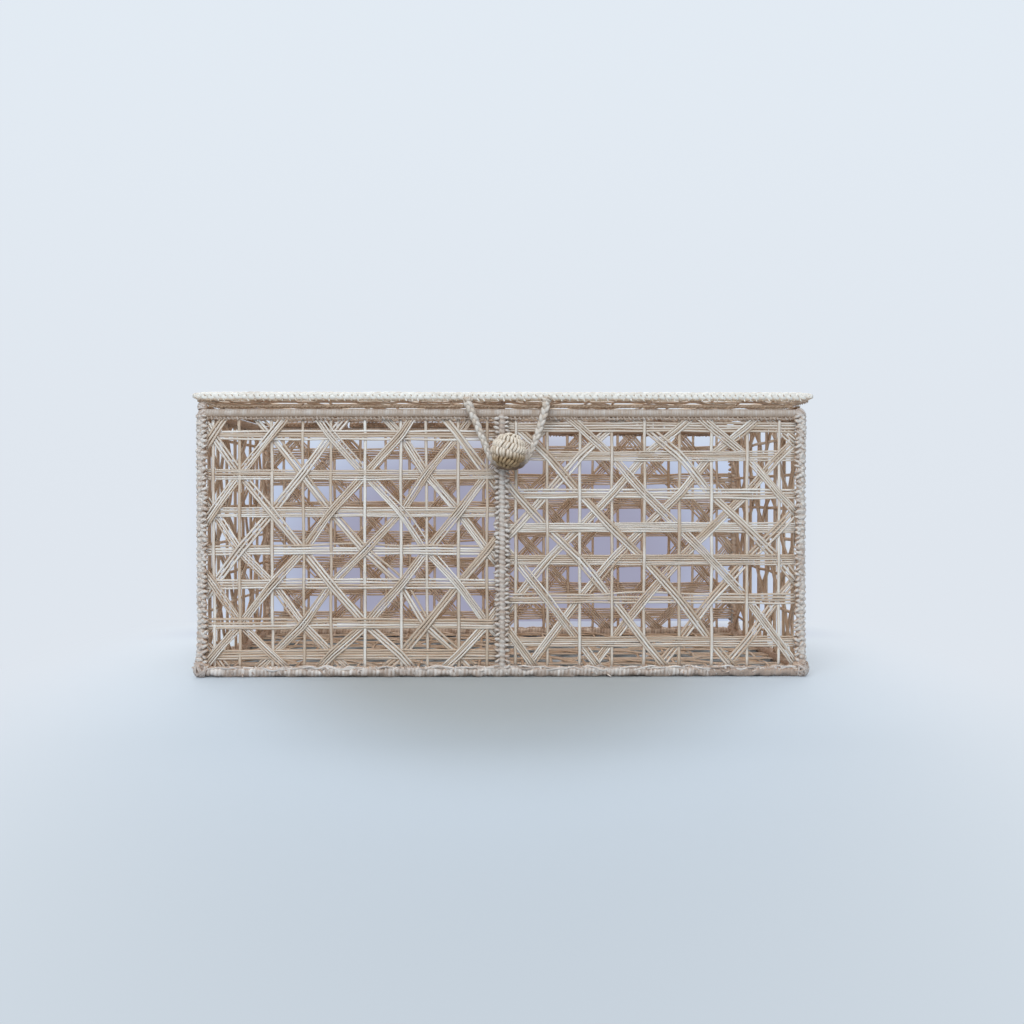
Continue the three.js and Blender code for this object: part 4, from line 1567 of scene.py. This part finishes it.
def base_knot(node_name, side_sign, end_sign):
    """Bind one big knot at a lower corner, with a few short ends of straw."""
    middle = Vector((side_sign * (WALL_X + 0.7), end_sign * WALL_Y, BASE_KNOT_Z))
    work = new_work()
    ball_core(work, middle + Vector((0, 0, 0.6)), BASE_KNOT_HALF * 0.8, tone=1.5)
    outwards = Vector((side_sign, 0.4 * end_sign, 0.3))
    for axis, turns, spread in ((outwards, 7, 0.9), (NEARLY_UP, 5, 0.8)):
        size = BASE_KNOT_HALF * dice.uniform(0.96, 1.03)
        bound_turns(work, middle, size, turns, spread, axis, width=0.72, low=0.45, browner=0.1)
    for _ in range(6):
        x = side_sign * dice.uniform(0, 1)
        y = end_sign * dice.uniform(0.2, 1)
        away = Vector((x, y, dice.uniform(-0.1, 1))).normalized()
        place = middle + away * BASE_KNOT_HALF
        tuft(work, place, away, length=dice.uniform(0.7, 1.6), tone=dice.uniform(0.2, 0.9))
    finish_piece(work, node_name + "_straw", knot_straw, "knot_straw", "box", node_name)


def rim_knot(node_name, side_sign, end_sign):
    """Bind one knot at an upper corner. Where the solid stands taller, a second one sits on top."""
    middle = Vector((side_sign * (WALL_X - 0.2), end_sign * (WALL_Y - 0.2), RIM_KNOT_Z))
    work = new_work()
    ball_core(work, middle, RIM_KNOT_HALF * 0.9, tone=0.6)
    lean = Vector((side_sign, 0, 0.9))
    bound_turns(work, middle, RIM_KNOT_HALF, turns=12, spread=0.5, main_axis=lean)
    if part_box(node_name)[1].z > TALL_KNOT_FROM:
        upper = Vector((middle.x, middle.y, UPPER_KNOT_Z))
        ball_core(work, upper, UPPER_CORE_HALF, tone=0.7)
        bound_turns(
            work, upper, UPPER_KNOT_HALF, turns=8, spread=0.4, main_axis=NEARLY_UP, width=0.7
        )
    finish_piece(work, node_name + "_straw", knot_straw, "knot_straw", "box", node_name)


for end_name, end_sign in (("front", -1), ("back", 1)):
    for side_name, side_sign in (("left", -1), ("right", 1)):
        base_knot("base_knot_" + end_name + "_" + side_name, side_sign, end_sign)
        rim_knot("rim_knot_" + end_name + "_" + side_name, side_sign, end_sign)

# %% [markdown]
# ## Braided rows
# A thin brown braid lies on the rim, and a thick pale one edges the lid. The pale one narrows to a
# point at each corner of the lid, where its strands are drawn together.

# %% Rim braid
RIM_BRAID_PERIOD = 6.0
for side_name in ("front", "left", "right"):
    direction, outwards = sides_of_box[side_name]
    node_name = "rim_braid_" + side_name
    start, end = centre_line(node_name, direction)
    line = straight_line(start, end, round((end - start).length / RIM_BRAID_PERIOD * 10))
    work = new_work()
    braid(
        work, line, [outwards] * len(line), RIM_BRAID_PERIOD, swing=0.72, dip=0.36, half_width=0.72,
        half_height=0.42, tones=(0.2, 0.5, 0.8), sides=6,
    )
    finish_piece(work, node_name + "_straw", braid_straw, "braid_straw", "box", node_name)

# %% Lid edging
EDGING_PERIOD = 9.9
POINT_REACH = 7.0
POINT_SCALE = 0.42
POINT_WIDENING = 0.58
POINT_LEAN = 1.2


def edging_line(start, end, direction, outwards, wave_seed):
    """Return the line of one edging braid and its scales, which narrow to a point at both ends."""
    length = (end - start).length
    steps = round(length / EDGING_PERIOD * 14)
    line = []
    scales = []
    for index in range(steps + 1):
        along = length * index / steps
        share = min(1.0, min(along, length - along) / POINT_REACH)
        wave = 0.16 * wander(along * 0.06, wave_seed)
        point = start + direction * along + Vector((LID_SHIFT, 0, wave))
        line.append(point + outwards * (POINT_LEAN * (1 - share) ** 1.5))
        scales.append(POINT_SCALE + POINT_WIDENING * share ** 0.6)
    return line, scales


for side_name, (direction, outwards) in sides_of_box.items():
    node_name = "lid_edging_" + side_name
    start, end = centre_line(node_name, direction)
    line, scales = edging_line(start, end, direction, outwards, 3.0 * len(side_name))
    work = new_work()
    braid(
        work, line, [UP] * len(line), EDGING_PERIOD, swing=0.65, dip=0.6, half_width=1.55,
        half_height=1.6, tones=(-0.5, -0.35, -0.2), scales=scales,
    )
    speck_shift = Vector((LID_SHIFT, 0, 0.3)) + outwards * 2.05
    stitches(
        work, start + speck_shift + direction * 5, end + speck_shift - direction * 5, pitch=3.3,
        half_length=0.4, half_width=0.24, tones=(1.2, 1.4),
    )
    low_shift = Vector((LID_SHIFT, 0, -1.9)) + outwards * 0.9
    from_point = start + direction * 6 + low_shift
    to_point = end - direction * 6 + low_shift
    loose_row(work, from_point, to_point, wobble=0.3, half_width=0.42, tones=(0.7, 1.0))
    stitches(
        work, from_point + outwards * 0.6, to_point + outwards * 0.6, pitch=3.3, half_length=0.7,
        half_width=0.42, tones=(-0.2, 1.0),
    )
    finish_piece(work, node_name + "_straw", edging_straw, "edging_straw", "lid", node_name)

# %% [markdown]
# ## Hinge ties
# Two ties of straw hold the lid to the back rim. Each goes loosely round the rim, so that it can
# turn, and then tightly round the lid's edging, five strands side by side.

# %% Hinge ties
RIM_Z = 130.2
TIE_STRANDS = 5
TIE_PITCH = 1.15
TIE_RING = 3.1
TIE_RING_STEPS = 16
TIE_RING_START = 80
TIE_RING_TURN = 340
TIE_NECK_Z = 135.0
# Y and Z of the way from the neck up the outside of the edging, over its top and down its inside.
TIE_ROUND_EDGING = [
    (78.4, TIE_NECK_Z), (80.0, 135.5), (82.6, 135.7), (83.15, 137.0), (83.2, 140.2), (82.5, 141.5),
    (79.9, 141.6), (77.2, 141.5), (76.6, 140.2), (76.6, 137.0), (76.9, 135.7), (77.6, TIE_NECK_Z),
]


def tie_line(x):
    """Return the route of one strand of a hinge tie."""
    points = []
    for step in range(TIE_RING_STEPS + 1):
        angle = math.radians(TIE_RING_START - TIE_RING_TURN * step / TIE_RING_STEPS)
        y = WALL_Y + TIE_RING * math.cos(angle)
        points.append(Vector((x, y, RIM_Z + TIE_RING * math.sin(angle))))
    points.extend(Vector((x, y, z)) for y, z in TIE_ROUND_EDGING)
    return even_line(smooth_line(points, 4), 64)


for side_name in ("left", "right"):
    node_name = "hinge_tie_" + side_name
    low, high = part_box(node_name)
    middle_x = (low.x + high.x) * HALF_TO_MM
    work = new_work()
    for number in range(TIE_STRANDS):
        line = tie_line(middle_x + (number - TIE_STRANDS // 2) * TIE_PITCH)
        across = [TO_RIGHT] * len(line)
        sweep(work, line, across, half_width=0.6, half_height=0.42, tone=strand_tone())
    finish_piece(work, node_name + "_straw", knot_straw, "knot_straw", "lid", node_name)

# %% [markdown]
# ## The ball button
# The ball is worked in rings of slanting stitches that lean the other way in every second ring. Its
# top is cream and its lower part is olive brown. A round core fills the gaps, and its darker tone is
# painted shade between the stitches.

# %% Points on the ball
BALL_MIDDLE = Vector((3.1, -91.85, 111.4))
BALL_HALF = Vector((8.3, 6.8, 8.2))
BALL_LEAN = math.radians(18)


def ball_point(latitude, longitude, bulge):
    """Return a point just over the ball, on a pole that leans a little to the right."""
    level = math.cos(latitude)
    flat = Vector((level * math.cos(longitude), level * math.sin(longitude), math.sin(latitude)))
    leaning = Vector((
        flat.x * math.cos(BALL_LEAN) + flat.z * math.sin(BALL_LEAN),
        flat.y,
        flat.z * math.cos(BALL_LEAN) - flat.x * math.sin(BALL_LEAN),
    ))
    return BALL_MIDDLE + leaning * BALL_HALF * bulge


# %% Ball button
BALL_RINGS = 6
BALL_POLE = 87
BALL_MOST_STITCHES = 29
BALL_STITCH_LEAN = 0.7
BALL_STITCH_WIDTHS = [0.6, 0.95, 1.05, 1.05, 0.95, 0.6]


def ball_stitch(target, low, high, longitude, lean):
    """Lay one stitch from a low to a high latitude."""
    points = []
    sides = []
    for step in range(6):
        share = step / 5
        latitude = low - 0.05 + (high - low + 0.1) * share
        bulge = 0.90 + 0.10 * math.sin(math.pi * share)
        points.append(ball_point(latitude, longitude + lean * (share - 0.5), bulge))
        right_side = ball_point(latitude, longitude + 0.1, bulge)
        sides.append(right_side - ball_point(latitude, longitude - 0.1, bulge))
    tone = 0.4 * strand_tone() - 0.3
    sweep(
        target, points, sides, half_width=0.78, half_height=0.64, tone=tone, widths=BALL_STITCH_WIDTHS
    )


ball_work = new_work()
# Painted shade: the core's darker tone shows in the gaps between the stitches.
ball_core(ball_work, BALL_MIDDLE, BALL_HALF * 0.92, tone=0.8)
for ring in range(BALL_RINGS):
    low = math.radians(-BALL_POLE + 2 * BALL_POLE * ring / BALL_RINGS)
    high = math.radians(-BALL_POLE + 2 * BALL_POLE * (ring + 1) / BALL_RINGS)
    count = max(6, round(BALL_MOST_STITCHES * math.cos((low + high) / 2)))
    lean = (1 if ring % 2 else -1) * BALL_STITCH_LEAN * math.tau / count
    for stitch in range(count):
        longitude = math.tau * (stitch + dice.uniform(-0.12, 0.12)) / count + ring * 0.11
        ball_stitch(ball_work, low, high, longitude, lean)
finish_piece(ball_work, "ball_button_straw", button_straw, "button_straw", "box", "button_ball")

# %% Button shank
SHANK_X = 4
SHANK_Z = 112
shank_low, shank_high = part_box("button_shank")
shank_work = new_work()
shank_start = Vector((SHANK_X, shank_low.y * TO_MM, SHANK_Z))
shank_end = Vector((SHANK_X, shank_high.y * TO_MM, SHANK_Z))
wind(shank_work, shank_start, shank_end, 1.25, 1.25, TO_RIGHT, pitch=0.9, groove=0.15, sides=12)
finish_piece(shank_work, "button_shank_straw", button_straw, "button_straw", "box", "button_shank")

# %% [markdown]
# The loop is sewn to the lid's edge with two small bound lumps like the corner knots. The edging is
# round, so each knot reaches back to it from the loop's end. From the front this depth doesn't show,
# but with the lid open a shorter knot would stand off the edge.

# %% Loop knots
LOOP_KNOT_BACK = 0.55
LOOP_KNOT_RISE = 0.9
for side_name in ("left", "right"):
    node_name = "loop_knot_" + side_name
    middle, half = middle_and_half(node_name)
    middle.y += LOOP_KNOT_BACK
    middle.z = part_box(node_name)[0].z * TO_MM + LOOP_KNOT_RISE
    half = Vector((half.x * 0.8, half.y * 1.3, min(half.z * 0.6, 1.3)))
    work = new_work()
    ball_core(work, middle, half * 0.8, tone=0.8)
    bound_turns(work, middle, half, turns=8, spread=0.7, main_axis=Vector((1, 0, 0.2)), width=0.45)
    finish_piece(work, node_name + "_straw", cord_straw, "knot_straw", "lid", node_name)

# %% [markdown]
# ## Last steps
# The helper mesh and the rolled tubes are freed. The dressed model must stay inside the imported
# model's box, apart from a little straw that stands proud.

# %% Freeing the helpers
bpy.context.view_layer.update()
bpy.data.meshes.remove(pouring_mesh)
for tube in tubes.values():
    tube.free()
